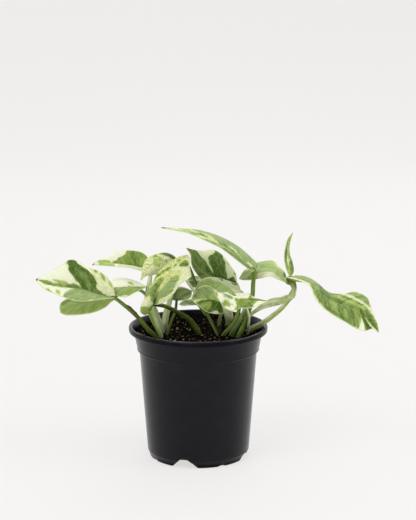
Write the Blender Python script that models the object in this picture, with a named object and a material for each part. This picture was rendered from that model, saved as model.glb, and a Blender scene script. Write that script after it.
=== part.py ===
"""Variegated pothos growing in a round four inch nursery pot.

Every leaf, leaf stalk, stem, dry sheath, the soil and the pot is an object of its own.
Lengths are written in millimetres from the pot's axis and the foot's underside, and turned
into metres by MM.  The front of the plant faces -Y.  The plant reaches further to the right
than to the left, so the whole is moved left at the end: the origin is then under the middle
of its outline, where it stands.
"""
import math

import bmesh
import bpy
from mathutils import Vector

MM = 0.001
POT_AXIS_X = -7.5

# pot: heights above the foot, and outside radii
RIM_RADIUS = 54.0
RIM_HEIGHT = 104.0
LIP_DEPTH = 4.6
COLLAR_TOP_RADIUS = 50.0
COLLAR_BOTTOM_RADIUS = 47.3
COLLAR_BOTTOM = 85.6
WALL_TOP_RADIUS = 45.7
WALL_BOTTOM_RADIUS = 39.7
FOOT_TOP = 5.0
FOOT_RADIUS = 37.8
FOOT_INNER_RADIUS = 35.2
FLOOR_BOTTOM = 6.2
WALL = 1.2
POT_SIDES = 64

# foot: drain notches cut through the foot ring, and holes in the floor
BIG_NOTCHES = 4
BIG_NOTCH_ANGLE = 254.0
BIG_NOTCH_SIZE = (18.5, 5.6, 4.3)
SMALL_NOTCH_SIZE = (5.6, 4.4, 1.2)
DRAIN_RING_RADIUS = 25.0
DRAIN_RADIUS = 4.0

# soil
SOIL_TOP = 98.0
SOIL_MOUND = 1.2
SOIL_BACK_RISE = 2.4
SOIL_EDGE_DROP = 1.6
SOIL_RINGS = 7
SOIL_SIDES = 32
GAP = 0.3
SOIL_WALL_GAP = 0.45
ROOT_DEPTH = 9.0
SOCKET_CLEARANCE = 0.6
SOCKET_FLOOR = 1.3
SOCKET_SPREAD = 1.8
SOCKET_RISE = 2.0

# leaves and stalks
BLADE_THICKNESS = 0.8
BLADE_ROWS = 12
BLADE_HALF_COLUMNS = 3
BLADE_BULGE = 0.09
BASE_HALF_WIDTH = 0.9
TIP_HALF_WIDTH = 0.35
STALK_SEGMENT = 5.0
STALK_SETBACK = 1.0
SHEATH_CLEARANCE = 0.7
SHEATH_THICKNESS = 0.5


# ---------------------------------------------------------------- scene and materials

def clear_scene():
    for old in list(bpy.data.objects):
        bpy.data.objects.remove(old, do_unlink=True)


def material(name, colour, roughness):
    """Principled material without metal; colour is linear RGB."""
    made = bpy.data.materials.new(name)
    made.use_nodes = True
    shader = made.node_tree.nodes["Principled BSDF"]
    shader.inputs["Base Color"].default_value = (*colour, 1.0)
    shader.inputs["Roughness"].default_value = roughness
    shader.inputs["Metallic"].default_value = 0.0
    made.diffuse_color = (*colour, 1.0)
    return made


def add_object(name, bm, finish, smooth_angle=40.0):
    """Turn a bmesh, in metres, into a shaded object with one material."""
    bmesh.ops.recalc_face_normals(bm, faces=bm.faces)
    mesh = bpy.data.meshes.new(name)
    bm.to_mesh(mesh)
    bm.free()
    mesh.shade_smooth()
    mesh.set_sharp_from_angle(angle=math.radians(smooth_angle))
    made = bpy.data.objects.new(name, mesh)
    bpy.context.scene.collection.objects.link(made)
    if finish:
        mesh.materials.append(finish)
    return made


def as_cutter(made):
    made.hide_render = True
    made.display_type = "WIRE"
    return made


def cut(target, cutters):
    """Subtract each cutter from the target, with Boolean modifiers left in place."""
    for cutter in cutters:
        modifier = target.modifiers.new("cut_" + cutter.name, "BOOLEAN")
        modifier.operation = "DIFFERENCE"
        modifier.object = as_cutter(cutter)


# ---------------------------------------------------------------- curves

def spline_point(points, place):
    """Catmull-Rom point; place runs from 0 at the first point to len - 1 at the last."""
    last = len(points) - 1
    i = min(int(place), last - 1)
    t = place - i
    p1, p2 = points[i], points[i + 1]
    p0 = points[i - 1] if i > 0 else p1 * 2 - p2
    p3 = points[i + 2] if i + 2 <= last else p2 * 2 - p1
    return 0.5 * (2 * p1 + (p2 - p0) * t + (2 * p0 - 5 * p1 + 4 * p2 - p3) * t ** 2
                  + (3 * p1 - p0 - 3 * p2 + p3) * t ** 3)


def even_points(points, count):
    """count + 1 points, evenly spaced along the smooth curve through the given ones."""
    fine = 16 * (len(points) - 1)
    dense = [spline_point(points, i * (len(points) - 1) / fine) for i in range(fine + 1)]
    reach = [0.0]
    for a, b in zip(dense, dense[1:]):
        reach.append(reach[-1] + (b - a).length)
    result, j = [], 0
    for i in range(count + 1):
        target = reach[-1] * i / count
        while j < fine - 1 and reach[j + 1] < target:
            j += 1
        span = max(reach[j + 1] - reach[j], 1e-9)
        result.append(dense[j].lerp(dense[j + 1], (target - reach[j]) / span))
    return result


def vectors(points):
    return [Vector(p) for p in points]


# ---------------------------------------------------------------- pot

def circle(radius, height, sides):
    """Points of a level circle round the axis, in metres."""
    turns = [2 * math.pi * i / sides for i in range(sides)]
    return [Vector((radius * math.cos(a), radius * math.sin(a), height)) * MM for a in turns]


def revolve(profile, sides):
    """Closed solid turned from (radius, height) points that start and end on the axis."""
    bm = bmesh.new()
    rings = []
    for radius, height in profile[1:-1]:
        rings.append([bm.verts.new(spot) for spot in circle(radius, height, sides)])
    for low, high in zip(rings, rings[1:]):
        for i in range(sides):
            j = (i + 1) % sides
            bm.faces.new((low[i], low[j], high[j], high[i]))
    for ring, (_, height) in ((rings[0], profile[0]), (rings[-1], profile[-1])):
        centre = bm.verts.new((0, 0, height * MM))
        for i in range(sides):
            bm.faces.new((centre, ring[i], ring[(i + 1) % sides]))
    return bm


def pot_profile():
    """Foot ring, tapered wall, collar above a small ledge, rolled lip, and the inside."""
    lip_bottom = RIM_HEIGHT - LIP_DEPTH
    outside = [
        (0, FLOOR_BOTTOM), (FOOT_INNER_RADIUS - 0.6, FLOOR_BOTTOM), (FOOT_INNER_RADIUS, 0),
        (FOOT_RADIUS, 0), (FOOT_RADIUS + 1.3, FOOT_TOP - 0.5), (WALL_BOTTOM_RADIUS, FOOT_TOP + 0.3),
        (WALL_TOP_RADIUS, COLLAR_BOTTOM - 0.8), (COLLAR_BOTTOM_RADIUS + 0.3, COLLAR_BOTTOM),
        (COLLAR_BOTTOM_RADIUS + 0.1, COLLAR_BOTTOM + 1.2), (COLLAR_TOP_RADIUS, lip_bottom)]
    lip = [
        (RIM_RADIUS - 0.8, lip_bottom + 0.1), (RIM_RADIUS - 0.1, lip_bottom + 1.0),
        (RIM_RADIUS, RIM_HEIGHT - 2.2), (RIM_RADIUS - 0.6, RIM_HEIGHT - 0.7),
        (RIM_RADIUS - 1.6, RIM_HEIGHT), (RIM_RADIUS - 2.8, RIM_HEIGHT - 0.2),
        (RIM_RADIUS - 3.8, RIM_HEIGHT - 1.4)]
    inside = [
        (inner_radius(SOIL_TOP), SOIL_TOP), (inner_radius(COLLAR_BOTTOM), COLLAR_BOTTOM),
        (inner_radius(FLOOR_BOTTOM), FLOOR_BOTTOM + WALL), (0, FLOOR_BOTTOM + WALL)]
    return outside + lip + inside


def inner_radius(height):
    """Inside radius of the wall, and of the collar, which is thickest at its ledge."""
    if height < COLLAR_BOTTOM:
        share = (height - FLOOR_BOTTOM) / (COLLAR_BOTTOM - FLOOR_BOTTOM)
        return WALL_BOTTOM_RADIUS + (WALL_TOP_RADIUS - WALL_BOTTOM_RADIUS) * share - WALL
    share = (height - COLLAR_BOTTOM) / (RIM_HEIGHT - LIP_DEPTH - COLLAR_BOTTOM)
    return WALL_TOP_RADIUS + (COLLAR_TOP_RADIUS - WALL_TOP_RADIUS) * share - WALL


def notch_cutter(name, angle, size):
    """Trapezoid prism lying along a radius, across the foot ring."""
    bottom, top, height = size
    near, far, below = FOOT_INNER_RADIUS - 6.0, WALL_BOTTOM_RADIUS + 4.0, -1.0
    bm = bmesh.new()
    ends = []
    for radius in (near, far):
        corners = ((-bottom / 2, below), (bottom / 2, below), (top / 2, height), (-top / 2, height))
        ends.append([bm.verts.new((radius * MM, y * MM, z * MM)) for y, z in corners])
    for i in range(4):
        j = (i + 1) % 4
        bm.faces.new((ends[0][i], ends[0][j], ends[1][j], ends[1][i]))
    bm.faces.new(ends[0])
    bm.faces.new(ends[1])
    made = add_object(name, bm, None)
    made.rotation_euler.z = math.radians(angle)
    return made


def cone(name, start, end, start_radius, end_radius, sides):
    """Closed cone or cylinder between two points in millimetres."""
    axis = end - start
    bm = bmesh.new()
    bmesh.ops.create_cone(bm, cap_ends=True, segments=sides, radius1=start_radius * MM,
                          radius2=end_radius * MM, depth=axis.length * MM)
    bm.transform(axis.to_track_quat("Z", "Y").to_matrix().to_4x4())
    bmesh.ops.translate(bm, verts=bm.verts, vec=(start + end) * 0.5 * MM)
    return add_object(name, bm, None)


def make_pot(finish):
    pot = add_object("pot", revolve(pot_profile(), POT_SIDES), finish, 30.0)
    step = 360.0 / BIG_NOTCHES
    cutters = []
    for i in range(BIG_NOTCHES):
        angle = BIG_NOTCH_ANGLE + i * step
        cutters.append(notch_cutter(f"big_notch_{i}", angle, BIG_NOTCH_SIZE))
        cutters.append(notch_cutter(f"small_notch_{i}", angle + step / 2, SMALL_NOTCH_SIZE))
        turn = math.radians(angle)
        centre = Vector((math.cos(turn), math.sin(turn), 0)) * DRAIN_RING_RADIUS
        low = centre + Vector((0, 0, FLOOR_BOTTOM - 1))
        high = centre + Vector((0, 0, FLOOR_BOTTOM + WALL + 1))
        cutters.append(cone(f"drain_{i}", low, high, DRAIN_RADIUS, DRAIN_RADIUS, 16))
    cut(pot, cutters)


# ---------------------------------------------------------------- soil

def soil_height(x, y):
    """Uneven top: a low mound with two crossing sets of shallow waves, higher at the back."""
    mound = 1 - (x * x + y * y) / inner_radius(SOIL_TOP) ** 2
    waves = 0.5 * math.sin(0.21 * x + 0.6) * math.cos(0.17 * y) + 0.3 * math.sin(0.33 * y - 0.12 * x)
    rise = SOIL_BACK_RISE * (max(y, 0.0) / inner_radius(SOIL_TOP)) ** 2
    return SOIL_TOP - SOIL_MOUND + SOIL_MOUND * mound + waves + rise


def make_soil(finish, sockets):
    """Solid that fills the pot to just clear of its wall, with the stalks' sockets cut out."""
    levels = [(inner_radius(height) - SOIL_WALL_GAP, height)
              for height in (FLOOR_BOTTOM + WALL + GAP, COLLAR_BOTTOM, SOIL_TOP - SOIL_EDGE_DROP)]
    profile = [(0, levels[0][1])] + levels
    profile += [(levels[-1][0] * ring / SOIL_RINGS, SOIL_TOP) for ring in range(SOIL_RINGS - 1, 0, -1)]
    bm = revolve(profile + [(0, SOIL_TOP)], SOIL_SIDES)
    top = SOIL_TOP * MM
    for vert in bm.verts:
        if abs(vert.co.z - top) < GAP * MM:
            vert.co.z = soil_height(vert.co.x / MM, vert.co.y / MM) * MM
    cut(add_object("soil", bm, finish, 60.0), sockets)


# ---------------------------------------------------------------- leaves

def margin_points(base, margin, tip, rib, count):
    """Margin of one half, from the stalk round to the tip, kept off the rib at both ends."""
    line = even_points([base] + margin + [tip], count)
    line[0] = base + (line[1] - rib[1]).normalized() * BASE_HALF_WIDTH
    line[-1] = tip + (line[-2] - rib[-2]).normalized() * TIP_HALF_WIDTH
    return line


def blade_grid(rib, left, right):
    """Rows of points across the blade, from the left margin over the rib to the right."""
    middle = even_points(rib, BLADE_ROWS)
    sides = [margin_points(rib[0], side, rib[-1], middle, BLADE_ROWS) for side in (left, right)]
    grid = []
    for i in range(BLADE_ROWS + 1):
        along = middle[min(i + 1, BLADE_ROWS)] - middle[max(i - 1, 0)]
        upper = (sides[1][i] - sides[0][i]).cross(along).normalized()
        row = []
        for column in range(-BLADE_HALF_COLUMNS, BLADE_HALF_COLUMNS + 1):
            out = abs(column) / BLADE_HALF_COLUMNS
            edge = sides[0][i] if column < 0 else sides[1][i]
            arch = BLADE_BULGE * 4 * out * (1 - out) * (edge - middle[i]).length
            row.append(middle[i].lerp(edge, out) + upper * arch)
        grid.append(row)
    return grid


def grid_normal(grid, i, j):
    rows, columns = len(grid) - 1, len(grid[0]) - 1
    along = grid[min(i + 1, rows)][j] - grid[max(i - 1, 0)][j]
    across = grid[i][min(j + 1, columns)] - grid[i][max(j - 1, 0)]
    return across.cross(along).normalized()


def thicken(grid, thickness):
    """Closed skin around a grid of points, half of the thickness to either side."""
    rows, columns = len(grid), len(grid[0])
    bm = bmesh.new()
    skins = []
    for side in (0.5, -0.5):
        skins.append([[bm.verts.new((grid[i][j] + grid_normal(grid, i, j) * thickness * side) * MM)
                       for j in range(columns)] for i in range(rows)])
    for skin in skins:
        for i in range(rows - 1):
            for j in range(columns - 1):
                bm.faces.new((skin[i][j], skin[i][j + 1], skin[i + 1][j + 1], skin[i + 1][j]))
    upper, lower = skins
    edge = [(0, j) for j in range(columns - 1)] + [(i, columns - 1) for i in range(rows - 1)]
    edge += [(rows - 1, j) for j in range(columns - 1, 0, -1)] + [(i, 0) for i in range(rows - 1, 0, -1)]
    for (i, j), (k, m) in zip(edge, edge[1:] + edge[:1]):
        bm.faces.new((upper[i][j], upper[k][m], lower[k][m], lower[i][j]))
    return bm


def make_blade(name, rib, left, right, finish):
    """Thin closed leaf: rib from stalk to tip, left and right margin as seen from above."""
    grid = blade_grid(vectors(rib), vectors(left), vectors(right))
    return add_object(name, thicken(grid, BLADE_THICKNESS), finish)


# ---------------------------------------------------------------- stalks, stems and sheaths

def stalk_points(route, rooted, setback):
    """Even points along a stalk; a rooted one goes ROOT_DEPTH straight down into the soil."""
    points = vectors(route)
    if rooted:
        points.insert(0, points[0] - Vector((0, 0, ROOT_DEPTH)))
    points[-1] = points[-1] - (points[-1] - points[-2]).normalized() * setback
    length = sum((b - a).length for a, b in zip(points, points[1:]))
    return even_points(points, max(3, round(length / STALK_SEGMENT)))


def make_stalk(name, route, radii, finish, rooted=False, setback=STALK_SETBACK):
    """Tapered tube that ends a little short of the leaf or the node at its top."""
    points = stalk_points(route, rooted, setback)
    curve = bpy.data.curves.new(name, "CURVE")
    curve.dimensions = "3D"
    curve.bevel_depth = MM
    curve.bevel_resolution = 2
    curve.use_fill_caps = True
    line = curve.splines.new("POLY")
    line.points.add(len(points) - 1)
    for i, (spot, place) in enumerate(zip(line.points, points)):
        spot.co = (*(place * MM), 1.0)
        spot.radius = radii[0] + (radii[1] - radii[0]) * i / (len(points) - 1)
    curve.materials.append(finish)
    made = bpy.data.objects.new(name, curve)
    bpy.context.scene.collection.objects.link(made)


def socket_cutter(name, foot, radius):
    """Funnel in the soil round the buried foot of a stalk, wider where the stalk leans out."""
    start = Vector(foot)
    bottom = start - Vector((0, 0, ROOT_DEPTH + SOCKET_FLOOR))
    top = start + Vector((0, 0, SOCKET_RISE))
    return cone("socket_" + name, bottom, top, radius + SOCKET_CLEARANCE, radius + SOCKET_SPREAD, 12)


def make_sheath(name, stalk, share, turn, finish):
    """Dry leaf sheath: part of a tube around a stalk, just clear of it, pointed at the top.

    share is the stretch of the stalk that it covers, and turn the angles that it wraps.
    """
    route, radii = STALKS[stalk]
    points = stalk_points(route, stalk in ROOTED, 0.0)
    rows, columns = 5, 4
    grid = []
    for i in range(rows + 1):
        place = share[0] + (share[1] - share[0]) * i / rows
        centre = spline_point(points, place * (len(points) - 1))
        ahead = spline_point(points, min(place + 0.02, 1.0) * (len(points) - 1))
        heading = (ahead - centre).normalized()
        side = heading.cross(Vector((0, 1, 0))).normalized()
        front = side.cross(heading)
        radius = radii[0] + (radii[1] - radii[0]) * place + SHEATH_CLEARANCE
        middle, half = sum(turn) / 2, (turn[1] - turn[0]) / 2 * (1 - 0.75 * (i / rows) ** 2)
        row = []
        for j in range(columns + 1):
            angle = math.radians(middle + half * (2 * j / columns - 1))
            row.append(centre + (side * math.cos(angle) + front * math.sin(angle)) * radius)
        grid.append(row)
    return add_object(name, thicken(grid, SHEATH_THICKNESS), finish)


# name: route from the soil, or from the stem, up to the leaf, and the radius at each end
STALKS = {
    "stem_left": (
        ((-33, -14, 98), (-39, -15, 105), (-46, -16, 114), (-55, -18, 123), (-64, -18, 130)),
         (1.9, 1.3)),
    "stalk_low_left": (
        ((-27, -3, 98), (-31, 0, 111), (-35, 2, 120), (-39, 2, 126), (-45, 1, 131.5), (-53, 2, 132),
         (-60, -3, 130), (-65, -11, 127.5)), (1.6, 1.0)),
    "stalk_back_left": (
        ((-29, -11, 98), (-33, -9, 109), (-37, -6, 119), (-38.5, -3, 126), (-38, 5, 135),
         (-37, 17, 142.5)), (2.3, 1.2)),
    "stalk_cream_front": (
        ((1, -6, 98), (-6, -9, 110), (-14, -12, 116), (-20, -14, 120), (-26, -16, 123),
         (-33.8, -18, 125)),
        (2.1, 1.4)),
    "stalk_hidden_left": (
        ((-27, 4, 98), (-25, 7, 111), (-22, 14, 121), (-20, 22, 130), (-18, 29.3, 136.8)), (2.0, 1.2)),
    "stalk_shaded_left": (
        ((-24, -6.5, 98), (-21, 3, 106), (-18, 11, 112), (-17, 17.5, 119)), (1.4, 1.0)),
    "stalk_speckled": (
        ((15, -8, 98), (7, -4, 114), (-1, 2, 134), (-6, 5, 147), (-10, 5, 152), (-17, 4, 154)),
         (1.7, 1.2)),
    "stalk_centre_front": (
        ((16, 0, 98), (17, -4, 111), (20.5, -11.5, 122.5)), (1.4, 1.1)),
    "stalk_folded_front": (
        ((24, 3, 98), (24, -5, 108), (23, -18, 118), (20, -24, 127), (17, -26.5, 133.5)), (2.6, 1.4)),
    "stalk_tall_back": (
        ((19, -12.5, 98), (25.5, -13, 106.5), (31, -6, 115.5), (32, 7, 122), (32, 16, 127),
         (30, 21.5, 131.5)), (1.7, 1.2)),
    "stalk_centre_back": (
        ((26, -8, 98), (31, -8, 108), (35.5, -7, 117), (36, -4, 124), (33.2, -2, 130.7)), (2.3, 1.2)),
    "stalk_top_long": (
        ((31, -14, 98), (35, -12.5, 107), (39, -11, 118), (41.6, -8, 128), (42.4, -6, 139), (43, -6, 149)),
        (2.0, 1.5)),
    "shoot_curved": (
        ((38.5, -5, 98), (38.6, -12, 106), (39, -17.5, 112.5), (38.3, -20.5, 118.5), (36.8, -23, 123),
         (34.8, -25.5, 126.8)), (1.3, 0.7)),
    "stem_right": (
        ((39.5, 4, 98), (50, -3, 106.3), (58.6, -3.5, 113), (65.5, -3, 119), (72.4, -2, 127.5)), (2.7, 1.4)),
    "stem_wing": (
        ((34, 0, 98), (39.4, 2, 110), (48, 3.5, 116.7), (57, 4, 120.9), (64, 4, 122.4), (68.7, 3.4, 125.2)),
        (1.4, 1.1)),
    "stem_neck": (
        ((72.5, -2, 128), (74, -1.5, 134), (71.5, -0.5, 141)), (2.1, 1.6)),
    "stalk_arched_right": (
        ((73, 1.5, 136), (71.6, 6, 135), (69.3, 10.2, 134.9)), (0.9, 0.8)),
    "stalk_hidden_centre": (
        ((6.8, 0, 117), (1, 5, 124), (-4, 9, 130), (-8, 16, 134), (-9, 22, 134)), (1.3, 1.0)),
    "stalk_shaded_small": (
        ((6, -2.3, 112), (2, 1, 117), (-0.8, 3.8, 119.8)), (0.9, 0.8)),
}

ROOTED = [name for name in STALKS if name not in
          ("stem_neck", "stalk_arched_right", "stalk_hidden_centre", "stalk_shaded_small")]

# name: the stalk that it wraps, the stretch of it, and the angles in degrees
SHEATHS = {
    "sheath_left": ("stem_left", (0.58, 0.79), (165, 240)),
    "sheath_centre": ("stalk_folded_front", (0.27, 0.42), (-150, 10)),
    "sheath_low": ("stalk_centre_front", (0.3, 0.45), (150, 330)),
}

# name: rib from stalk to tip, then the left and the right margin seen from above
LEAVES = {
    "leaf_far_left": (
        ((-64, -18, 130), (-75, -21, 133), (-88, -25, 138), (-103, -29, 141), (-115, -32, 146),
         (-122, -31, 147)),
        ((-70, -27, 131), (-78, -36, 132), (-88, -42, 133), (-99, -43, 136), (-108, -41, 139),
         (-117, -36, 142)),
        ((-65, -14, 139), (-73, -12, 148), (-85, -13, 154), (-96, -18, 160), (-105, -23, 156),
         (-114, -28, 151))),
    "leaf_low_left": (
        ((-65, -12, 127), (-77, -12, 126), (-91, -13, 123), (-100, -15, 120), (-105, -18, 118)),
        ((-71, -17, 122), (-80, -21, 119), (-91, -24, 118), (-100, -22, 117)),
        ((-71, -2, 130), (-84, 3, 130), (-96, 2, 127), (-103, -4, 125), (-106, -12, 122))),
    "leaf_inner_left": (
        ((-40, 3, 134), (-46, -1, 134), (-54, -3, 135), (-63, -4, 135), (-71, -6, 134)),
        ((-42, -5, 134), (-48, -10, 132), (-56, -13, 129), (-64, -12, 131)),
        ((-44, 8, 135), (-53, 12, 137), (-62, 12, 138), (-69, 6, 137))),
    "leaf_back_left": (
        ((-37, 18, 144), (-47, 22, 145), (-60, 27, 146), (-72, 31, 147), (-80, 34, 147),
         (-84, 36, 144)),
        ((-43, 10, 145), (-52, 11, 147), (-62, 14, 147), (-73, 22, 146)),
        ((-38, 22, 150), (-43, 27, 155), (-52, 33, 156), (-63, 37, 155), (-72, 38, 151),
         (-79, 37, 148))),
    "leaf_speckled": (
        ((-17, 4, 154), (-26, -1, 155), (-35, -5, 153), (-41, -9, 148), (-43, -10, 145),
         (-44, -11, 142)),
        ((-20, 2, 149), (-27, -2, 146), (-34, -6, 145), (-39, -9, 145)),
        ((-18, 8, 157), (-24, 8, 160), (-32, 4, 160), (-39, 0, 157), (-42, -5, 153), (-43, -9, 148))),
    "leaf_cream_front": (
        ((-34, -18, 125), (-31, -22, 135), (-27, -22, 143), (-20, -19, 151), (-14, -15, 157),
         (-8, -12, 162)),
        ((-37, -21, 120), (-41, -24, 118), (-44, -26, 122), (-41, -24, 130), (-38, -20, 136),
         (-35, -17, 142),
         (-31, -14, 149), (-23, -11, 155), (-15, -10, 160)),
        ((-30, -24, 126), (-23, -28, 130), (-18, -30, 136), (-13, -29, 143), (-5, -24, 148),
         (-6, -18, 154),
         (-6, -14, 159))),
    "leaf_tall_back": (
        ((30, 22, 132), (22, 20, 135), (12, 18, 138), (4, 17, 142), (-3, 17, 150), (-6, 18, 157),
         (-9, 19, 161)),
        ((25, 15, 132), (15, 13, 134), (5, 12, 136), (0, 13, 140), (-5, 14, 148), (-6, 16, 155)),
        ((30, 28, 138), (25, 32, 145), (19, 34, 153), (12, 34, 157), (4, 30, 157), (-3, 23, 159))),
    "leaf_centre_back": (
        ((33, -2, 131), (25, 0, 134), (15, 1, 136), (6, 0, 135), (-1, -3, 132), (-5, -7, 127)),
        ((27, -6, 129), (18, -5, 130), (9, -6, 131), (1, -6, 129)),
        ((30, 4, 135), (22, 6, 138), (15, 7, 140), (8, 6, 141), (2, 3, 139), (-2, -1, 134))),
    "leaf_centre_front": (
        ((21, -12, 123.5), (14, -14, 127), (5, -17, 129), (-5, -19, 129)),
        ((23, -13, 118), (18, -17, 117), (12, -21, 118), (6, -22, 120), (1, -22, 124), (-3, -21, 127)),
        ((18, -7, 130), (12, -6, 134), (6, -7, 137), (1, -9, 136), (-2, -13, 133))),
    "leaf_folded_front": (
        ((17, -26, 134), (23, -29, 135), (30, -31, 132), (42, -31, 132), (53, -29, 130)),
        ((13, -19, 134), (20.5, -18, 134.4), (30, -18, 133.6), (37.3, -19, 133.3), (41, -24, 132.2),
         (43.5, -28, 131.5)),
        ((13, -28, 136), (16, -32, 131), (20, -35, 126), (26, -37, 124), (32, -37, 126), (38, -37, 126),
         (44, -35, 127))),
    "leaf_top_long": (
        ((43, -6, 149), (34, -6, 156), (24, -7, 164), (11, -8, 172), (-2, -9, 178), (-17, -10, 181),
         (-28, -10, 183)),
        ((41, -15, 150), (34, -20, 156), (23, -22, 165), (11, -22, 172), (-2, -19, 178),
         (-16, -14, 181)),
        ((47, 3, 149), (42, 10, 154), (31, 13, 163), (18, 13, 171), (5, 10, 175), (-8, 5, 178),
         (-20, -4, 181))),
    "leaf_arched_right": (
        ((69, 10, 136), (64, 13, 142), (58, 17, 145), (48, 21, 144), (40, 24, 140), (32, 26, 135)),
        ((66.8, 5.5, 137), (62, 4, 139.4), (55.5, 3.5, 142.2), (48, 6.5, 139.7), (40.3, 11, 137.2),
         (35, 19, 135.3)),
        ((68, 16, 141), (64, 22, 145), (59, 28, 149), (52, 32, 148), (43, 34, 145), (36, 32, 140))),
    "leaf_young_furled": (
        ((71.3, 0.8, 141.2), (70, 3, 152), (69, 3, 162), (70, 2, 170), (73, 1, 177)),
        ((68, -3, 148), (66, -5, 158), (67, -4, 167), (69, -1, 173)),
        ((74, 4, 146), (73, 7, 152), (70.8, 7, 159), (70.6, 4.5, 167))),
    "leaf_far_right": (
        ((71.5, -2.5, 141.6), (78, -5, 141), (87, -9, 138), (94, -13, 132), (104, -17, 126),
         (115, -21, 123),
         (125, -26, 118), (132, -29, 111), (137, -31, 106)),
        ((76, 4, 142), (85, 5, 140), (93, 1, 136), (101, -1, 130), (112, -5, 130), (121, -10, 133),
         (129, -16, 130), (131, -22, 126), (133, -27, 120), (136, -30, 113)),
        ((69, -8, 143), (80, -14, 141), (86, -18, 138), (88, -22, 133), (93, -26, 126), (101, -30, 120),
         (110, -33, 115), (119, -35, 110), (126, -35, 108), (132, -33, 109))),
    "leaf_shaded_left": (
        ((-17, 18, 119), (-12, 20, 124), (-5, 22, 126)),
        ((-11, 14.5, 120.5), (-6, 17, 122.5)),
        ((-23.5, 19, 120.5), (-20, 23, 125), (-15, 26, 128.5), (-9, 25, 127.5))),
    "leaf_shaded_small": (
        ((-1, 4, 120), (-8, 5, 120), (-15, 6, 119)),
        ((-3, -1, 120), (-8, -2, 120), (-12, 1, 119)),
        ((-4, 11, 122), (-10, 13, 121), (-13, 11, 120))),
    "leaf_hidden_left": (
        ((-18, 30, 137), (-24, 38, 141), (-31, 46, 143), (-36, 53, 142)),
        ((-24, 33, 135), (-31, 42, 137), (-36, 50, 138)),
        ((-16, 34, 144), (-23, 42, 147), (-31, 51, 148))),
    "leaf_hidden_centre": (
        ((-9, 22, 134), (-4, 28, 133), (2, 35, 131), (12, 46, 130)),
        ((-6, 24, 129), (1, 29, 127), (8, 38, 127)),
        ((-6, 27, 137), (0, 35, 135), (6, 43, 133))),
}


def move_off_axis():
    """Hang everything on one empty, which stands where the pot's axis does."""
    axis = bpy.data.objects.new("pot_axis", None)
    for made in list(bpy.context.scene.collection.objects):
        made.parent = axis
    bpy.context.scene.collection.objects.link(axis)
    axis.location.x = POT_AXIS_X * MM


def main():
    clear_scene()
    black = material("black_plastic", (0.012, 0.013, 0.015), 0.42)
    earth = material("soil", (0.018, 0.012, 0.008), 0.95)
    leaf_green = material("leaf_green", (0.12, 0.24, 0.05), 0.4)
    stalk_green = material("stalk_green", (0.2, 0.3, 0.07), 0.45)
    dry = material("dry_sheath", (0.12, 0.07, 0.04), 0.8)
    make_pot(black)
    make_soil(earth, [socket_cutter(name, STALKS[name][0][0], STALKS[name][1][0]) for name in ROOTED])
    for name, (route, radii) in STALKS.items():
        make_stalk(name, route, radii, stalk_green, name in ROOTED)
    for name, (stalk, share, turn) in SHEATHS.items():
        make_sheath(name, stalk, share, turn, dry)
    for name, (rib, left, right) in LEAVES.items():
        make_blade(name, rib, left, right, leaf_green)
    move_off_axis()


main()
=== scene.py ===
"""Looks of a variegated pothos in its nursery pot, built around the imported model.

Every leaf, stalk and sheath, the soil and the pot get a finer mesh in the place of their CAD
solid, and a material made of nodes.  Lengths are in millimetres from the pot's axis and the
foot's underside, as in the CAD source; mesh_object() turns them into metres in the row frame.
A leaf's variegation is a list of patches in the leaf's own coordinates: along runs from 0 at
the stalk to 1 at the tip, and across from -1 at the left margin to 1 at the right one.
"""
import math

import bmesh
import bpy
import numpy as np
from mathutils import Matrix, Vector


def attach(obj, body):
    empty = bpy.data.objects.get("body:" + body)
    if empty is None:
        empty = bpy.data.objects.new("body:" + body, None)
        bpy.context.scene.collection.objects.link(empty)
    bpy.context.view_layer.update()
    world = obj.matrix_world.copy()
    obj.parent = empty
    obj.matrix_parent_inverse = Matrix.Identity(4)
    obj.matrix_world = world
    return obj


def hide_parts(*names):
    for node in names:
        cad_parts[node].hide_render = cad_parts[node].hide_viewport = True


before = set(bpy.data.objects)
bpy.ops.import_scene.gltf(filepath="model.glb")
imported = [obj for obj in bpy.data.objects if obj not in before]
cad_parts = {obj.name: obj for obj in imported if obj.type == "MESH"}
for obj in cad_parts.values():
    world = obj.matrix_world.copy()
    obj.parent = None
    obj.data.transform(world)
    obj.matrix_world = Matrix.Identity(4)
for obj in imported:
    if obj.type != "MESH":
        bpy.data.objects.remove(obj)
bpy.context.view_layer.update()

MM = 0.001
POT_AXIS = np.array((-7.5, 0.0, 0.0))

# camera, in metres: straight in front, above the plant
CAMERA_PLACE = (0.0001, -1.300, 0.429)
CAMERA_PITCH = 78.12
CAMERA_LENS = 119.5


# ---------------------------------------------------------------- numbers and curves

NOISE_CELLS = 64
CURVE_STEPS = 32
NEARLY_ZERO = 1e-9


def smooth(x):
    """S-curve from 0 to 1."""
    x = np.clip(x, 0.0, 1.0)
    return x * x * (3 - 2 * x)


def mix(a, b, share):
    return a + (b - a) * share


def noise(x, y, seed):
    """Smooth noise from -1 to 1 over a plane with a grain of about 1."""
    table = np.random.default_rng(seed).uniform(-1, 1, (NOISE_CELLS, NOISE_CELLS))
    column, row = np.floor(x).astype(int), np.floor(y).astype(int)
    right, up = smooth(x - column), smooth(y - row)

    def corner(i, j):
        return table[(column + i) % NOISE_CELLS, (row + j) % NOISE_CELLS]

    low = mix(corner(0, 0), corner(1, 0), right)
    high = mix(corner(0, 1), corner(1, 1), right)
    return mix(low, high, up)


def unit(vectors):
    length = np.linalg.norm(vectors, axis=-1, keepdims=True)
    return vectors / np.maximum(length, NEARLY_ZERO)


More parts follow.
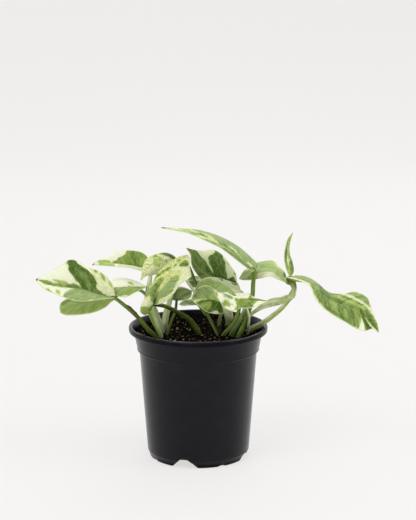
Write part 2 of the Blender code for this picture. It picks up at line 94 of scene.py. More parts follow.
def catmull_rom(points, steps):
    """Points on the smooth curve through the given ones, with steps to each stretch."""
    p = np.array(points, float)
    p = np.vstack([2 * p[0] - p[1], p, 2 * p[-1] - p[-2]])
    t = np.linspace(0, 1, steps + 1)[:-1, None]
    stretches = []
    for p0, p1, p2, p3 in zip(p, p[1:], p[2:], p[3:]):
        stretches.append(0.5 * (2 * p1 + (p2 - p0) * t + (2 * p0 - 5 * p1 + 4 * p2 - p3) * t ** 2
                                + (3 * p1 - p0 - 3 * p2 + p3) * t ** 3))
    return np.vstack(stretches + [p[-2:-1]])


def even_points(points, count):
    """count + 1 points, evenly spaced along the smooth curve through the given ones."""
    dense = catmull_rom(points, CURVE_STEPS)
    steps = np.linalg.norm(np.diff(dense, axis=0), axis=1)
    reach = np.concatenate([[0.0], np.cumsum(steps)])
    where = np.linspace(0, reach[-1], count + 1)
    return np.column_stack([np.interp(where, reach, column) for column in dense.T])


def curve_length(points):
    return np.linalg.norm(np.diff(catmull_rom(points, CURVE_STEPS), axis=0), axis=1).sum()


# ---------------------------------------------------------------- objects and meshes

def new_object(name, data):
    """Object in the scene that shows a mesh, a lamp or a camera."""
    made = bpy.data.objects.new(name, data)
    bpy.context.scene.collection.objects.link(made)
    return made


def mesh_object(name, verts, faces, finish, node=None, flat=False):
    """Object that rides on the only body; verts in millimetres from the pot's axis."""
    mesh = bpy.data.meshes.new(name)
    mesh.from_pydata(((np.asarray(verts) + POT_AXIS) * MM).tolist(), [], [list(f) for f in faces])
    mesh.validate()
    if not flat:
        mesh.shade_smooth()
    mesh.materials.append(finish)
    made = new_object(name, mesh)
    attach(made, "root")
    if node:
        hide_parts(node)
    return made


def store(mesh, name, kind, values):
    """Put one value for each vertex on the mesh, for the materials to read."""
    field = {"FLOAT": "value", "FLOAT_VECTOR": "vector", "FLOAT_COLOR": "color"}[kind]
    layer = mesh.attributes.new(name, kind, "POINT")
    layer.data.foreach_set(field, np.asarray(values, np.float32).ravel())


def store_uv(mesh, values):
    """UV map for baking, from one pair for each vertex."""
    corners = np.zeros(len(mesh.loops), np.int32)
    mesh.loops.foreach_get("vertex_index", corners)
    layer = mesh.uv_layers.new(name="OFBake")
    layer.uv.foreach_set("vector", np.asarray(values, np.float32)[corners].ravel())


def grid_faces(rows, columns, start=0, flip=False, closed=False):
    """Quads over a grid of rows by columns of vertices; closed joins the last column to the first."""
    faces = []
    for i in range(rows - 1):
        for j in range(columns if closed else columns - 1):
            k = (j + 1) % columns
            quad = (start + i * columns + j, start + i * columns + k,
                    start + (i + 1) * columns + k, start + (i + 1) * columns + j)
            faces.append(quad[::-1] if flip else quad)
    return faces


def rim_faces(rows, columns, lower):
    """Quads that join the edge of one grid to the edge of a second one, lower vertices further on."""
    edge = list(range(columns - 1))
    edge += [i * columns + columns - 1 for i in range(rows - 1)]
    edge += [(rows - 1) * columns + j for j in range(columns - 1, 0, -1)]
    edge += [i * columns for i in range(rows - 1, 0, -1)]
    return [(a, a + lower, b + lower, b) for a, b in zip(edge, edge[1:] + edge[:1])]


def skin_faces(rows, columns):
    """Faces of a thin closed sheet: one grid, the same grid turned over, and the rim between."""
    count = rows * columns
    faces = grid_faces(rows, columns) + grid_faces(rows, columns, count, flip=True)
    return faces + rim_faces(rows, columns, count)


# ---------------------------------------------------------------- node materials

# how far apart in the noise two pieces of one kind are
NOISE_SHIFT = 10.0


class Nodes:
    """A node tree under construction: short calls for the nodes that are used here."""

    def __init__(self, tree):
        self.tree = tree

    def set(self, socket, value):
        """Give a socket a number, a colour or another node's output."""
        if isinstance(value, bpy.types.NodeSocket):
            self.tree.links.new(value, socket)
        elif isinstance(value, (tuple, list)) and len(value) == 3 and socket.type == "RGBA":
            socket.default_value = (*value, 1.0)
        else:
            socket.default_value = value

    def node(self, kind, *inputs, **values):
        """New node: its first inputs in their order, and others by name, with a capital.

        Names without a capital are the node's settings.
        """
        made = self.tree.nodes.new("ShaderNode" + kind)
        for name, value in values.items():
            if name[0].isupper():
                self.set(made.inputs[name.replace("_", " ")], value)
            else:
                setattr(made, name, value)
        for socket, value in zip(made.inputs, inputs):
            self.set(socket, value)
        return made

    def attribute(self, name):
        return self.node("Attribute", attribute_name=name)

    def object_place(self):
        """Place within the object, in metres."""
        return self.node("TexCoord").outputs["Object"]

    def split(self, vector):
        return self.node("SeparateXYZ", vector).outputs

    def stretch(self, place, along, across):
        """Place scaled along and across, so that a noise over it is streaked."""
        return self.node("VectorMath", place, (along, across, 1.0), operation="MULTIPLY").outputs[0]

    def math(self, operation, a, b=0.0, clamp=False):
        return self.node("Math", a, b, operation=operation, use_clamp=clamp).outputs[0]

    def plus(self, a, b, clamp=False):
        return self.math("ADD", a, b, clamp)

    def minus(self, a, b):
        return self.math("SUBTRACT", a, b)

    def times(self, a, b):
        return self.math("MULTIPLY", a, b)

    def step(self, value, low, high, start=0.0, end=1.0):
        """Smooth step of value from start at low to end at high."""
        made = self.node("MapRange", value, low, high, start, end, interpolation_type="SMOOTHSTEP")
        return made.outputs[0]

    def mix(self, share, a, b, blend="MIX"):
        made = self.node("Mix", share, data_type="RGBA", blend_type=blend)
        self.set(made.inputs[6], a)
        self.set(made.inputs[7], b)
        return made.outputs[2]

    def noise(self, vector, scale, detail=3.0, roughness=0.55):
        """Noise from about -1 to 1."""
        made = self.node("TexNoise", Vector=vector, Scale=scale, Detail=detail, Roughness=roughness)
        return self.times(self.minus(made.outputs["Fac"], 0.5), 3.0)

    def cells(self, vector, scale, feature="F1"):
        return self.node("TexVoronoi", feature=feature, Vector=vector, Scale=scale).outputs

    def bump(self, height, distance):
        return self.node("Bump", Height=height, Distance=distance, Strength=1.0).outputs[0]

    def seen_directly(self):
        """1 for rays from the camera and those that a reflection or glass sends on, else 0."""
        path = self.node("LightPath").outputs
        seen = self.math("MAXIMUM", path["Is Camera Ray"], path["Is Glossy Ray"])
        return self.math("MAXIMUM", seen, path["Is Transmission Ray"])


class Finish(Nodes):
    """A material under construction."""

    def __init__(self, name):
        self.material = bpy.data.materials.new(name)
        self.material.use_nodes = True
        super().__init__(self.material.node_tree)
        self.shader = self.tree.nodes["Principled BSDF"]

    def surface(self, **values):
        for name, value in values.items():
            self.set(self.shader.inputs[name.replace("_", " ")], value)


# ---------------------------------------------------------------- leaves: shape

# spacing of the rows of points along a leaf, and columns of points from its rib to a margin
ROW_STEP = 0.75
HALF_COLUMNS = 22
# the blade gets thinner over the last THIN_MARGIN of its width
BLADE_THICKNESS = 0.5
MARGIN_THICKNESS = 0.22
THIN_MARGIN = 1.5
# rise of the blade between rib and margin, as a share of its half width
BLADE_BULGE = 0.09
# half width of the blade at its ends, which fades out over one in MARGIN_EASE of its rows
BASE_HALF_WIDTH = 0.9
TIP_HALF_WIDTH = 0.35
MARGIN_EASE = 12
# lean of the side veins towards the tip for each millimetre off the rib, and their spacing
VEIN_SWEEP = 0.85
VEIN_SPACING = 6.5
# quilting between the side veins: height, the power that rounds it, and how fast it grows
# from the rib and from the margin
QUILT_HEIGHT = 0.28
QUILT_POWER = 0.6
QUILT_FROM_RIB = 5
QUILT_FROM_MARGIN = 3
# waves along the margin: height, length, and distance in the noise from one half to the other
WAVE_HEIGHT = 0.8
WAVE_LENGTH = 13.0
HALVES_APART = 9
# groove over the rib and ridge under it: height, half width, and share of the height at the tip
RIB_GROOVE = (0.4, 0.7, 0.35)
RIB_RIDGE = (0.8, 0.9, 0.25)
# half width at which a blade has its full relief, and its full groove
RELIEF_WIDTH = 12
GROOVE_WIDTH = 3

# share of the UV map between and round the skins: the upper one is in the left half of the map
UV_GAP = 0.02
UV_HALF_WIDTH = 0.22

# name: rib from stalk to tip, then the left and the right margin seen from above, as in the CAD
LEAVES = {
    "leaf_far_left": (
        ((-64, -18, 130), (-75, -21, 133), (-88, -25, 138), (-103, -29, 141), (-115, -32, 146),
         (-122, -31, 147)),
        ((-70, -27, 131), (-78, -36, 132), (-88, -42, 133), (-99, -43, 136), (-108, -41, 139),
         (-117, -36, 142)),
        ((-65, -14, 139), (-73, -12, 148), (-85, -13, 154), (-96, -18, 160), (-105, -23, 156),
         (-114, -28, 151))),
    "leaf_low_left": (
        ((-65, -12, 127), (-77, -12, 126), (-91, -13, 123), (-100, -15, 120), (-105, -18, 118)),
        ((-71, -17, 122), (-80, -21, 119), (-91, -24, 118), (-100, -22, 117)),
        ((-71, -2, 130), (-84, 3, 130), (-96, 2, 127), (-103, -4, 125), (-106, -12, 122))),
    "leaf_inner_left": (
        ((-40, 3, 134), (-46, -1, 134), (-54, -3, 135), (-63, -4, 135), (-71, -6, 134)),
        ((-42, -5, 134), (-48, -10, 132), (-56, -13, 129), (-64, -12, 131)),
        ((-44, 8, 135), (-53, 12, 137), (-62, 12, 138), (-69, 6, 137))),
    "leaf_back_left": (
        ((-37, 18, 144), (-47, 22, 145), (-60, 27, 146), (-72, 31, 147), (-80, 34, 147), (-84, 36, 144)),
        ((-43, 10, 145), (-52, 11, 147), (-62, 14, 147), (-73, 22, 146)),
        ((-38, 22, 150), (-43, 27, 155), (-52, 33, 156), (-63, 37, 155), (-72, 38, 151), (-79, 37, 148))),
    "leaf_speckled": (
        ((-17, 4, 154), (-26, -1, 155), (-35, -5, 153), (-41, -9, 148), (-43, -10, 145), (-44, -11, 142)),
        ((-20, 2, 149), (-27, -2, 146), (-34, -6, 145), (-39, -9, 145)),
        ((-18, 8, 157), (-24, 8, 160), (-32, 4, 160), (-39, 0, 157), (-42, -5, 153), (-43, -9, 148))),
    "leaf_cream_front": (
        ((-34, -18, 125), (-31, -22, 135), (-27, -22, 143), (-20, -19, 151), (-14, -15, 157),
         (-8, -12, 162)),
        ((-37, -21, 120), (-41, -24, 118), (-44, -26, 122), (-41, -24, 130), (-38, -20, 136),
         (-35, -17, 142), (-31, -14, 149), (-23, -11, 155), (-15, -10, 160)),
        ((-30, -24, 126), (-23, -28, 130), (-18, -30, 136), (-13, -29, 143), (-5, -24, 148),
         (-6, -18, 154), (-6, -14, 159))),
    "leaf_tall_back": (
        ((30, 22, 132), (22, 20, 135), (12, 18, 138), (4, 17, 142), (-3, 17, 150), (-6, 18, 157),
         (-9, 19, 161)),
        ((25, 15, 132), (15, 13, 134), (5, 12, 136), (0, 13, 140), (-5, 14, 148), (-6, 16, 155)),
        ((30, 28, 138), (25, 32, 145), (19, 34, 153), (12, 34, 157), (4, 30, 157), (-3, 23, 159))),
    "leaf_centre_back": (
        ((33, -2, 131), (25, 0, 134), (15, 1, 136), (6, 0, 135), (-1, -3, 132), (-5, -7, 127)),
        ((27, -6, 129), (18, -5, 130), (9, -6, 131), (1, -6, 129)),
        ((30, 4, 135), (22, 6, 138), (15, 7, 140), (8, 6, 141), (2, 3, 139), (-2, -1, 134))),
    "leaf_centre_front": (
        ((21, -12, 123.5), (14, -14, 127), (5, -17, 129), (-5, -19, 129)),
        ((23, -13, 118), (18, -17, 117), (12, -21, 118), (6, -22, 120), (1, -22, 124), (-3, -21, 127)),
        ((18, -7, 130), (12, -6, 134), (6, -7, 137), (1, -9, 136), (-2, -13, 133))),
    "leaf_folded_front": (
        ((17, -26, 134), (23, -29, 135), (30, -31, 132), (42, -31, 132), (53, -29, 130)),
        ((13, -19, 134), (20.5, -18, 134.4), (30, -18, 133.6), (37.3, -19, 133.3), (41, -24, 132.2),
         (43.5, -28, 131.5)),
        ((13, -28, 136), (16, -32, 131), (20, -35, 126), (26, -37, 124), (32, -37, 126), (38, -37, 126),
         (44, -35, 127))),
    "leaf_top_long": (
        ((43, -6, 149), (34, -6, 156), (24, -7, 164), (11, -8, 172), (-2, -9, 178), (-17, -10, 181),
         (-28, -10, 183)),
        ((41, -15, 150), (34, -20, 156), (23, -22, 165), (11, -22, 172), (-2, -19, 178), (-16, -14, 181)),
        ((47, 3, 149), (42, 10, 154), (31, 13, 163), (18, 13, 171), (5, 10, 175), (-8, 5, 178),
         (-20, -4, 181))),
    "leaf_arched_right": (
        ((69, 10, 136), (64, 13, 142), (58, 17, 145), (48, 21, 144), (40, 24, 140), (32, 26, 135)),
        ((66.8, 5.5, 137), (62, 4, 139.4), (55.5, 3.5, 142.2), (48, 6.5, 139.7), (40.3, 11, 137.2),
         (35, 19, 135.3)),
        ((68, 16, 141), (64, 22, 145), (59, 28, 149), (52, 32, 148), (43, 34, 145), (36, 32, 140))),
    "leaf_young_furled": (
        ((71.3, 0.8, 141.2), (70, 3, 152), (69, 3, 162), (70, 2, 170), (73, 1, 177)),
        ((68, -3, 148), (66, -5, 158), (67, -4, 167), (69, -1, 173)),
        ((74, 4, 146), (73, 7, 152), (70.8, 7, 159), (70.6, 4.5, 167))),
    "leaf_far_right": (
        ((71.5, -2.5, 141.6), (78, -5, 141), (87, -9, 138), (94, -13, 132), (104, -17, 126),
         (115, -21, 123), (125, -26, 118), (132, -29, 111), (137, -31, 106)),
        ((76, 4, 142), (85, 5, 140), (93, 1, 136), (101, -1, 130), (112, -5, 130), (121, -10, 133),
         (129, -16, 130), (131, -22, 126), (133, -27, 120), (136, -30, 113)),
        ((69, -8, 143), (80, -14, 141), (86, -18, 138), (88, -22, 133), (93, -26, 126), (101, -30, 120),
         (110, -33, 115), (119, -35, 110), (126, -35, 108), (132, -33, 109))),
    "leaf_shaded_left": (
        ((-17, 18, 119), (-12, 20, 124), (-5, 22, 126)),
        ((-11, 14.5, 120.5), (-6, 17, 122.5)),
        ((-23.5, 19, 120.5), (-20, 23, 125), (-15, 26, 128.5), (-9, 25, 127.5))),
    "leaf_shaded_small": (
        ((-1, 4, 120), (-8, 5, 120), (-15, 6, 119)),
        ((-3, -1, 120), (-8, -2, 120), (-12, 1, 119)),
        ((-4, 11, 122), (-10, 13, 121), (-13, 11, 120))),
    "leaf_hidden_left": (
        ((-18, 30, 137), (-24, 38, 141), (-31, 46, 143), (-36, 53, 142)),
        ((-24, 33, 135), (-31, 42, 137), (-36, 50, 138)),
        ((-16, 34, 144), (-23, 42, 147), (-31, 51, 148))),
    "leaf_hidden_centre": (
        ((-9, 22, 134), (-4, 28, 133), (2, 35, 131), (12, 46, 130)),
        ((-6, 24, 129), (1, 29, 127), (8, 38, 127)),
        ((-6, 27, 137), (0, 35, 135), (6, 43, 133))),
}


def margin_points(rib, margin, rows):
    """Margin of one half, eased off the rib where it starts and ends."""
    base, tip = rib[0], rib[-1]
    line = even_points([base, *margin, tip], rows)
    ease = rows // MARGIN_EASE
    fade = np.clip(1 - np.arange(rows + 1) / ease, 0, 1)[:, None]
    line = line + unit(line[ease] - rib[ease]) * BASE_HALF_WIDTH * fade
    return line + unit(line[-1 - ease] - rib[-1 - ease]) * TIP_HALF_WIDTH * fade[::-1]


class Blade:
    """Fine surface of one leaf, with the leaf's own coordinates at each of its points."""

    def __init__(self, rib, left, right, seed):
        self.seed = seed
        self.length = curve_length(rib)
        self.rows = round(self.length / ROW_STEP)
        middle = even_points(rib, self.rows)
        margins = [margin_points(middle, side, self.rows) for side in (left, right)]
        self.along = np.linspace(0, 1, self.rows + 1)[:, None]
        self.across = np.linspace(-1, 1, 2 * HALF_COLUMNS + 1)[None, :]
        out = np.abs(self.across)
        widths = [np.linalg.norm(line - middle, axis=1)[:, None] for line in margins]
        self.width = np.where(self.across < 0, *widths)
        edge = np.where(self.across[..., None] < 0, margins[0][:, None], margins[1][:, None])
        ahead = np.gradient(middle, axis=0)
        upper = unit(np.cross(margins[1] - margins[0], ahead))[:, None]
        arch = (BLADE_BULGE * 4 * out * (1 - out) * self.width)[..., None]
        self.place = middle[:, None] + (edge - middle[:, None]) * out[..., None] + upper * arch
        self.off_rib = self.across * self.width
        self.inset = (1 - out) * self.width
        self.vein = self.along * self.length - VEIN_SWEEP * np.abs(self.off_rib)

    def under_rib(self, share, depth):
        """Point below the rib, share of the way along it."""
        row = round(share * self.rows)
        return self.place[row, HALF_COLUMNS] - self.normals()[row, HALF_COLUMNS] * depth

    def normals(self):
        ahead = np.gradient(self.place, axis=0)
        sideways = np.gradient(self.place, axis=1)
        return unit(np.cross(sideways, ahead))

    def relief(self):
        """Height of the quilting between the side veins and of the waves along the margin."""
        out = np.abs(self.across)
        beat = np.abs(np.sin(math.pi * self.vein / VEIN_SPACING + self.seed))
        quilt = (beat ** QUILT_POWER - QUILT_POWER) * smooth(out * QUILT_FROM_RIB)
        quilt *= smooth((1 - out) * QUILT_FROM_MARGIN)
        room = smooth(self.width / RELIEF_WIDTH)
        half = HALVES_APART * (self.across > 0)
        wave = noise(self.along * self.length / WAVE_LENGTH + half, out, self.seed)
        return room * (QUILT_HEIGHT * quilt + WAVE_HEIGHT * out ** 2 * wave)

    def along_rib(self, height, half_width, at_tip):
        """Height of the rib's groove or ridge, which gets lower towards the tip."""
        return height * np.exp(-(self.off_rib / half_width) ** 2) * mix(1.0, at_tip, self.along)

    def skins(self):
        """Upper and lower surface: thin at the margin, grooved over the rib and ridged under it."""
        normal = self.normals()
        half = 0.5 * mix(MARGIN_THICKNESS, BLADE_THICKNESS, smooth(self.inset / THIN_MARGIN))
        groove = self.along_rib(*RIB_GROOVE) * smooth(self.width / GROOVE_WIDTH)
        ridge = self.along_rib(*RIB_RIDGE)
        relief = self.relief()
        top = self.place + normal * (relief + half - groove)[..., None]
        bottom = self.place + normal * (relief - half - ridge)[..., None]
        return top, bottom


# ---------------------------------------------------------------- leaves: variegation

# how far the edge of a patch wanders, and the grain of that along the rib and along the veins
EDGE_JAG = 0.7
JAG_LENGTH = 1.4
JAG_WIDTH = 5.0
JAG_SEED = 50
# over how far the green, and the other values, change across an edge
EDGE_REACH = 3.0
EDGE_BLUR = 1.2
OUTLINE_STEPS = 6

# kind of patch: green or pale, how dark, how grey or white, how flecked, how dry
KINDS = {
    "deep": (1, 1.0, 0.05, 0.0, 0),
    "dark": (1, 0.78, 0.5, 0.05, 0),
    "moss": (1, 0.6, 0.35, 0.2, 0),
    "mid": (1, 0.5, 0.25, 0.15, 0),
    "bright": (1, 0.68, 0.0, 0.1, 0),
    "grey": (1, 0.4, 0.9, 0.1, 0),
    "sage": (1, 0.12, 0.75, 0.15, 0),
    "light": (1, 0.08, 0.4, 0.2, 0),
    "snow": (0, 0.0, 1.0, 0.05, 0),
    "white": (0, 0.15, 1.0, 0.2, 0),
    "dull": (0, 0.75, 0.9, 0.2, 0),
    "cream": (0, 0.3, 0.6, 0.35, 0),
    "yellow": (0, 0.3, 0.1, 0.6, 0),
    "speckled": (0, 0.0, 0.3, 0.56, 0),
    "rust": (0, 0.2, 0.5, 0.1, 0.4),
    "brown": (0, 0.5, 0.0, 0.0, 1),
}


def dry_tip(start):
    """Patch that turns the blade brown from start to its tip."""
    return ("brown", (start, -150), (110, -150), (110, 150), (start, 150))


# name: kind of the whole blade, then patches over it: a kind, then an outline of
# (along, across) in hundredths
PAINT = {
    "leaf_far_left": ("white", [
        ("cream", (-10, 0), (25, 30), (36, 70), (42, 120), (-10, 120)),
        ("grey", (-5, -10), (3, -80), (15, -93), (35, -94), (50, -110), (61, -110), (64, -80), (60, -45),
         (52, -15), (42, 3), (10, 3)),
        ("mid", (20, -98), (40, -100), (52, -120), (20, -120)),
        ("dark", (40, -2), (56, -3), (63, 5), (58, 12), (46, 10)),
        ("mid", (64, 5), (68, -16), (74, -22), (79, -36), (87, -48), (94, -40), (100, 0), (90, 14),
         (80, 6), (70, 8)),
        ("dark", (74, -10), (86, -30), (94, -20), (98, 0), (86, 0)),
        ("deep", (8, 1), (36, 0), (46, 14), (55, 34), (61, 50), (63, 72), (66, 95), (62, 120), (55, 120),
         (54, 90), (43, 82), (35, 66), (29, 45), (26, 24), (17, 10)),
        ("dark", (14, 4), (34, 6), (44, 30), (50, 55), (46, 66), (38, 50), (31, 22)),
        ("mid", (22, 70), (27, 74), (29, 96), (25, 94)),
        ("light", (11, 80), (16, 72), (18, 94), (15, 99)),
        ("mid", (32, 80), (36, 84), (36, 100), (33, 100)),
        ("light", (67, -90), (72, -87), (72, -60), (68, -64)),
        ("mid", (76, -105), (84, -105), (81, -80)),
        ("light", (60, 10), (72, 12), (80, 24), (68, 20)),
        dry_tip(98.5),
    ]),
    "leaf_low_left": ("light", [
        ("sage", (50, 10), (80, 30), (94, 70), (80, 120), (40, 120), (40, 60)),
        ("bright", (70, 50), (84, 60), (84, 100), (70, 120), (62, 90)),
        ("yellow", (50, -93), (68, -92), (86, -88), (88, -120), (50, -120)),
    ]),
    "leaf_inner_left": ("snow", [
        ("mid", (-5, 3), (3, -40), (20, -120), (48, -120), (54, -86), (64, -90), (70, -120), (100, -120),
         (90, -10), (72, -6), (50, 3), (25, 5)),
        ("grey", (56, -75), (72, -70), (74, -20), (60, -15)),
        ("dark", (18, -30), (26, -60), (30, -30), (24, -2)),
        ("light", (33, 18), (42, 20), (44, 42), (36, 40)),
    ]),
    "leaf_back_left": ("white", [
        ("bright", (-5, 0), (58, 0), (58.5, 20), (53, 42), (48, 70), (46, 120), (-5, 120)),
        ("mid", (44, 2), (57, 2), (57, 20), (52, 40), (48, 28)),
        ("mid", (10, 10), (20, 10), (24, 60), (14, 80)),
        ("dull", (-5, -25), (-5, -120), (47, -120), (50, -70), (52, -30), (30, -30)),
        ("mid", (-5, -30), (30, -35), (52, -35), (57, 0), (-5, 0)),
        ("light", (57, -120), (80, -120), (84, -60), (88, 8), (80, 26), (70, 10), (61, -10), (56, -70)),
        dry_tip(96.5),
    ]),
    "leaf_speckled": ("speckled", [
        ("cream", (50, -120), (75, -90), (74, -30), (60, -50), (46, -90)),
        ("white", (8, 0), (18, 10), (28, 40), (30, 16), (20, -20), (8, -40)),
        ("deep", (-5, 30), (10, 26), (20, 42), (30, 60), (37, 90), (34, 120), (-5, 120)),
        ("light", (44, -34), (52, -26), (55, 0), (53, 28), (49, 52), (44, 10)),
        ("mid", (31, 2), (36, 10), (43, 32), (41, 40), (35, 26)),
        ("mid", (21.5, -12), (25, -16), (26.5, 4), (23.5, 8)),
        ("bright", (44, 60), (50, 66), (52, 90), (46, 85)),
    ]),
    "leaf_cream_front": ("yellow", [
        ("cream", (8, 50), (30, 66), (50, 80), (70, 50), (66, 0), (98, 30), (98, 120), (8, 120)),
        ("mid", (-10, -20), (12, -20), (20, -50), (27, -90), (20, -120), (-10, -120)),
        ("cream", (9, -28), (28, -46), (40, -120), (30, -120), (24, -80), (18, -50)),
        ("grey", (-10, -2), (14, -2), (16, 50), (8, 86), (-10, 90)),
        ("grey", (0, 0), (14, 0), (26, 10), (36, 22), (46, 34), (58, 38), (62, 50), (54, 76), (42, 86),
         (30, 78), (20, 52), (6, 40)),
        ("moss", (14, -12), (30, -12), (47, -6), (53, -30), (48, -55), (46, -80), (48, -120), (40, -120),
         (34, -75), (29, -48), (20, -28)),
        ("bright", (54, -105), (58, -105), (63, -70), (71, -35), (69, -20), (60, -40)),
        ("mid", (73, -16), (78, -14), (77, 0), (74, 2)),
        ("bright", (83, -40), (87, -30), (87, -5), (84, -10)),
        ("bright", (76, 22), (83, 18), (90, 40), (87, 86), (80, 66)),
        ("brown", (72, 97), (78, 97), (78, 120), (72, 120)),
    ]),
    "leaf_tall_back": ("deep", [
        ("dull", (-10, 50), (9, 55), (15, 38), (17, 12), (22, 28), (28, 55), (35, 80), (43, 95),
         (43, 120), (-10, 120)),
        ("mid", (13, 78), (17, 74), (19, 92), (14, 96)),
        ("light", (30, 86), (36, 90), (34, 100), (30, 98)),
        ("dark", (40, 0), (55, 10), (66, 36), (80, 50), (90, 75), (95, 30), (92, -30), (86, -120),
         (56, -120), (54, -30)),
        ("bright", (40, 0), (50, -20), (56, -120), (46, -120), (40, -40)),
        ("dull", (42, 14), (50, 20), (60, 33), (70, 46), (80, 68), (88, 100), (86, 120), (58, 120),
         (56, 80), (61, 60), (55, 38), (47, 24)),
        ("light", (85, -120), (93, -120), (93, 0), (88, -30)),
        dry_tip(98.5),
    ]),
    "leaf_centre_back": ("sage", [
        ("dull", (-10, -120), (13, -120), (20, -60), (28, -10), (38, 25), (50, 50), (62, 85), (72, 120),
         (-10, 120)),
        ("light", (20, -70), (30, -60), (34, -20), (26, -15)),
        ("deep", (14, 66), (18, 62), (23, 85), (22, 110), (15, 110)),
        ("dark", (34, 58), (38, 54), (42, 75), (40, 90), (35, 85)),
        ("mid", (30, 94), (50, 93), (55, 120), (30, 120)),
        ("cream", (76, -20), (84, 20), (80, 120), (93, 120), (97, -20)),
        ("cream", (60, 120), (64, 93), (80, 88), (90, 80), (100, 50), (105, 120)),
    ]),
    "leaf_centre_front": ("grey", [
        ("deep", (2, -2), (50, -2), (62, -10), (76, -25), (84, -60), (86, -120), (2, -120)),
        ("mid", (50, -20), (64, -30), (80, -90), (60, -85), (50, -50)),
        ("cream", (0, -120), (10, -85), (20, -82), (28, -95), (34, -120)),
        ("white", (36, -120), (38, -84), (46, -82), (55, -94), (70, -100), (78, -120)),
        ("cream", (52, -5), (70, -16), (80, -40), (86, -75), (87, -120), (94, -120), (93, -60), (86, -22),
         (76, -2)),
        ("light", (10, 2), (50, 2), (50, 25), (42, 40), (30, 70), (10, 90)),
        ("grey", (58, 20), (70, 30), (74, 90), (60, 120), (50, 90)),
        ("cream", (34, 55), (38, 50), (42, 90), (50, 94), (56, 120), (30, 120)),
        ("bright", (48, 72), (56, 72), (55, 84), (50, 84)),
        ("dark", (84, 10), (93, 10), (92, 80), (84, 60)),
        ("yellow", (45, 120), (50, 92), (70, 90), (85, 85), (90, 120)),
    ]),
    "leaf_folded_front": ("white", [
        ("mid", (26, -120), (46, -120), (42, -80), (38, -30), (30, -20), (26, -50)),
        ("grey", (8, -90), (18, -80), (20, -40), (12, -30)),
        ("rust", (44.5, -44), (46.5, -46), (46.5, -32), (45, -30)),
        ("rust", (20, 50), (22, 48), (22.5, 54), (20.5, 55)),
        ("rust", (28, 44), (30, 44), (30, 50), (28.5, 51)),
        ("rust", (38, 60), (40, 58), (40.5, 65), (38.5, 66)),
        ("mid", (63, -120), (70, -120), (71, -60), (68, -5), (62, -10), (64, -60)),
        ("white", (71, -90), (82, -90), (82, -30), (76, -12), (70, -20)),
        ("mid", (34, 0), (70, -6), (85, -40), (88, -120), (110, -120), (110, 70), (90, 20), (80, 26),
         (74, 80), (74, 120), (50, 120), (49, 80), (44, 46)),
        ("bright", (46, 20), (60, 20), (62, 60), (52, 60)),
        ("deep", (44, 2), (70, -6), (85, -30), (110, -30), (110, 60), (88, 30), (76, 22), (60, 14)),
        ("dark", (62, 50), (72, 50), (72, 120), (64, 120)),
        ("grey", (14, 10), (30, 6), (30, 24), (22, 42), (15, 35)),
        ("mid", (27, 66), (32, 58), (37, 70), (36, 84), (28, 84)),
        ("dark", (10, 88), (14, 86), (15, 120), (9, 120)),
        ("dark", (26, 92), (33, 92), (34, 120), (26, 120)),
        ("white", (80, 50), (90, 50), (92, 90), (90, 120), (78, 120), (77, 80)),
    ]),
    "leaf_top_long": ("grey", [
        ("cream", (0, 6), (10, 10), (12, 20), (6, 30), (0, 30)),
        ("cream", (6, 92), (20, 95), (26, 120), (4, 120)),
        ("bright", (6, -16), (30, -14), (52, -10), (56, 2), (44, 16), (30, 10), (16, 6)),
        ("cream", (30, -20), (42, -12), (55, 4), (62, 16), (56, 20), (46, 10), (36, -2)),
        ("cream", (18, 10), (30, 16), (36, 26), (28, 24)),
        ("yellow", (50, 14), (60, 8), (70, 8), (80, 34), (75, 40), (66, 24), (57, 28)),
        ("dark", (56, 6), (63, 4), (66, 12), (60, 16)),
        ("light", (76, -120), (100, -120), (100, 120), (78, 120)),
        ("cream", (80, 0), (90, 10), (92, 40), (84, 30)),
        ("dark", (10, -120), (40, -120), (42, -80), (26, -50), (10, -60)),
        ("cream", (14, -50), (26, -42), (40, -50), (28, -34), (14, -36)),
        ("yellow", (44, -42), (52, -60), (64, -92), (69, -90), (62, -62), (50, -40)),
        ("dark", (56, -90), (70, -120), (56, -120), (46, -120), (50, -90)),
        dry_tip(97.5),
    ]),
    "leaf_arched_right": ("sage", [
        ("cream", (4, -120), (10, -90), (24, -72), (40, -60), (56, -56), (60, -80), (56, -120)),
        ("white", (12, -120), (20, -92), (40, -84), (50, -90), (48, -120)),
        ("mid", (56, -120), (70, -120), (72, -50), (66, -10), (58, -40)),
        ("dark", (8, 20), (14, 25), (18, 120), (8, 120)),
        ("cream", (27, 60), (30, 46), (36, 70), (42, 86), (52, 86), (50, 120), (24, 120)),
        ("white", (78, 40), (82, 50), (86, 120), (80, 120)),
        ("cream", (85, -120), (90, -100), (98, -60), (100, -120)),
    ]),
    "leaf_young_furled": ("mid", [
        ("light", (5, -80), (30, -60), (32, 20), (5, 20)),
        ("cream", (28, -40), (42, -62), (54, -34), (70, -44), (80, -10), (66, 6), (58, 30), (46, 4),
         (36, 20)),
        ("dark", (36, -120), (70, -120), (66, -80), (42, -80)),
        ("light", (74, -60), (100, -60), (100, 40), (74, 40)),
        ("dark", (12, 30), (30, 30), (36, 80), (16, 80)),
        ("cream", (-5, -120), (5, -120), (6, 120), (-5, 120)),
    ]),
    "leaf_far_right": ("moss", [
        ("grey", (4, -70), (30, -75), (34, -20), (28, 30), (6, 30)),
        ("dark", (28, -60), (38, -50), (46, 30), (46, 85), (38, 80), (32, 20)),
        ("cream", (0, 35), (10, 45), (24, 60), (28, 90), (50, 92), (70, 93), (86, 96), (86, 120),
         (0, 120)),
        ("light", (46, -70), (56, -36), (70, -36), (80, -50), (66, -20), (50, -30)),
        ("cream", (40, -120), (46, -90), (50, -66), (57, -48), (68, -44), (78, -62), (84, -70), (95, -96),
         (95, -120), (80, -120), (78, -90), (72, -68), (60, -64), (54, -86), (50, -120)),
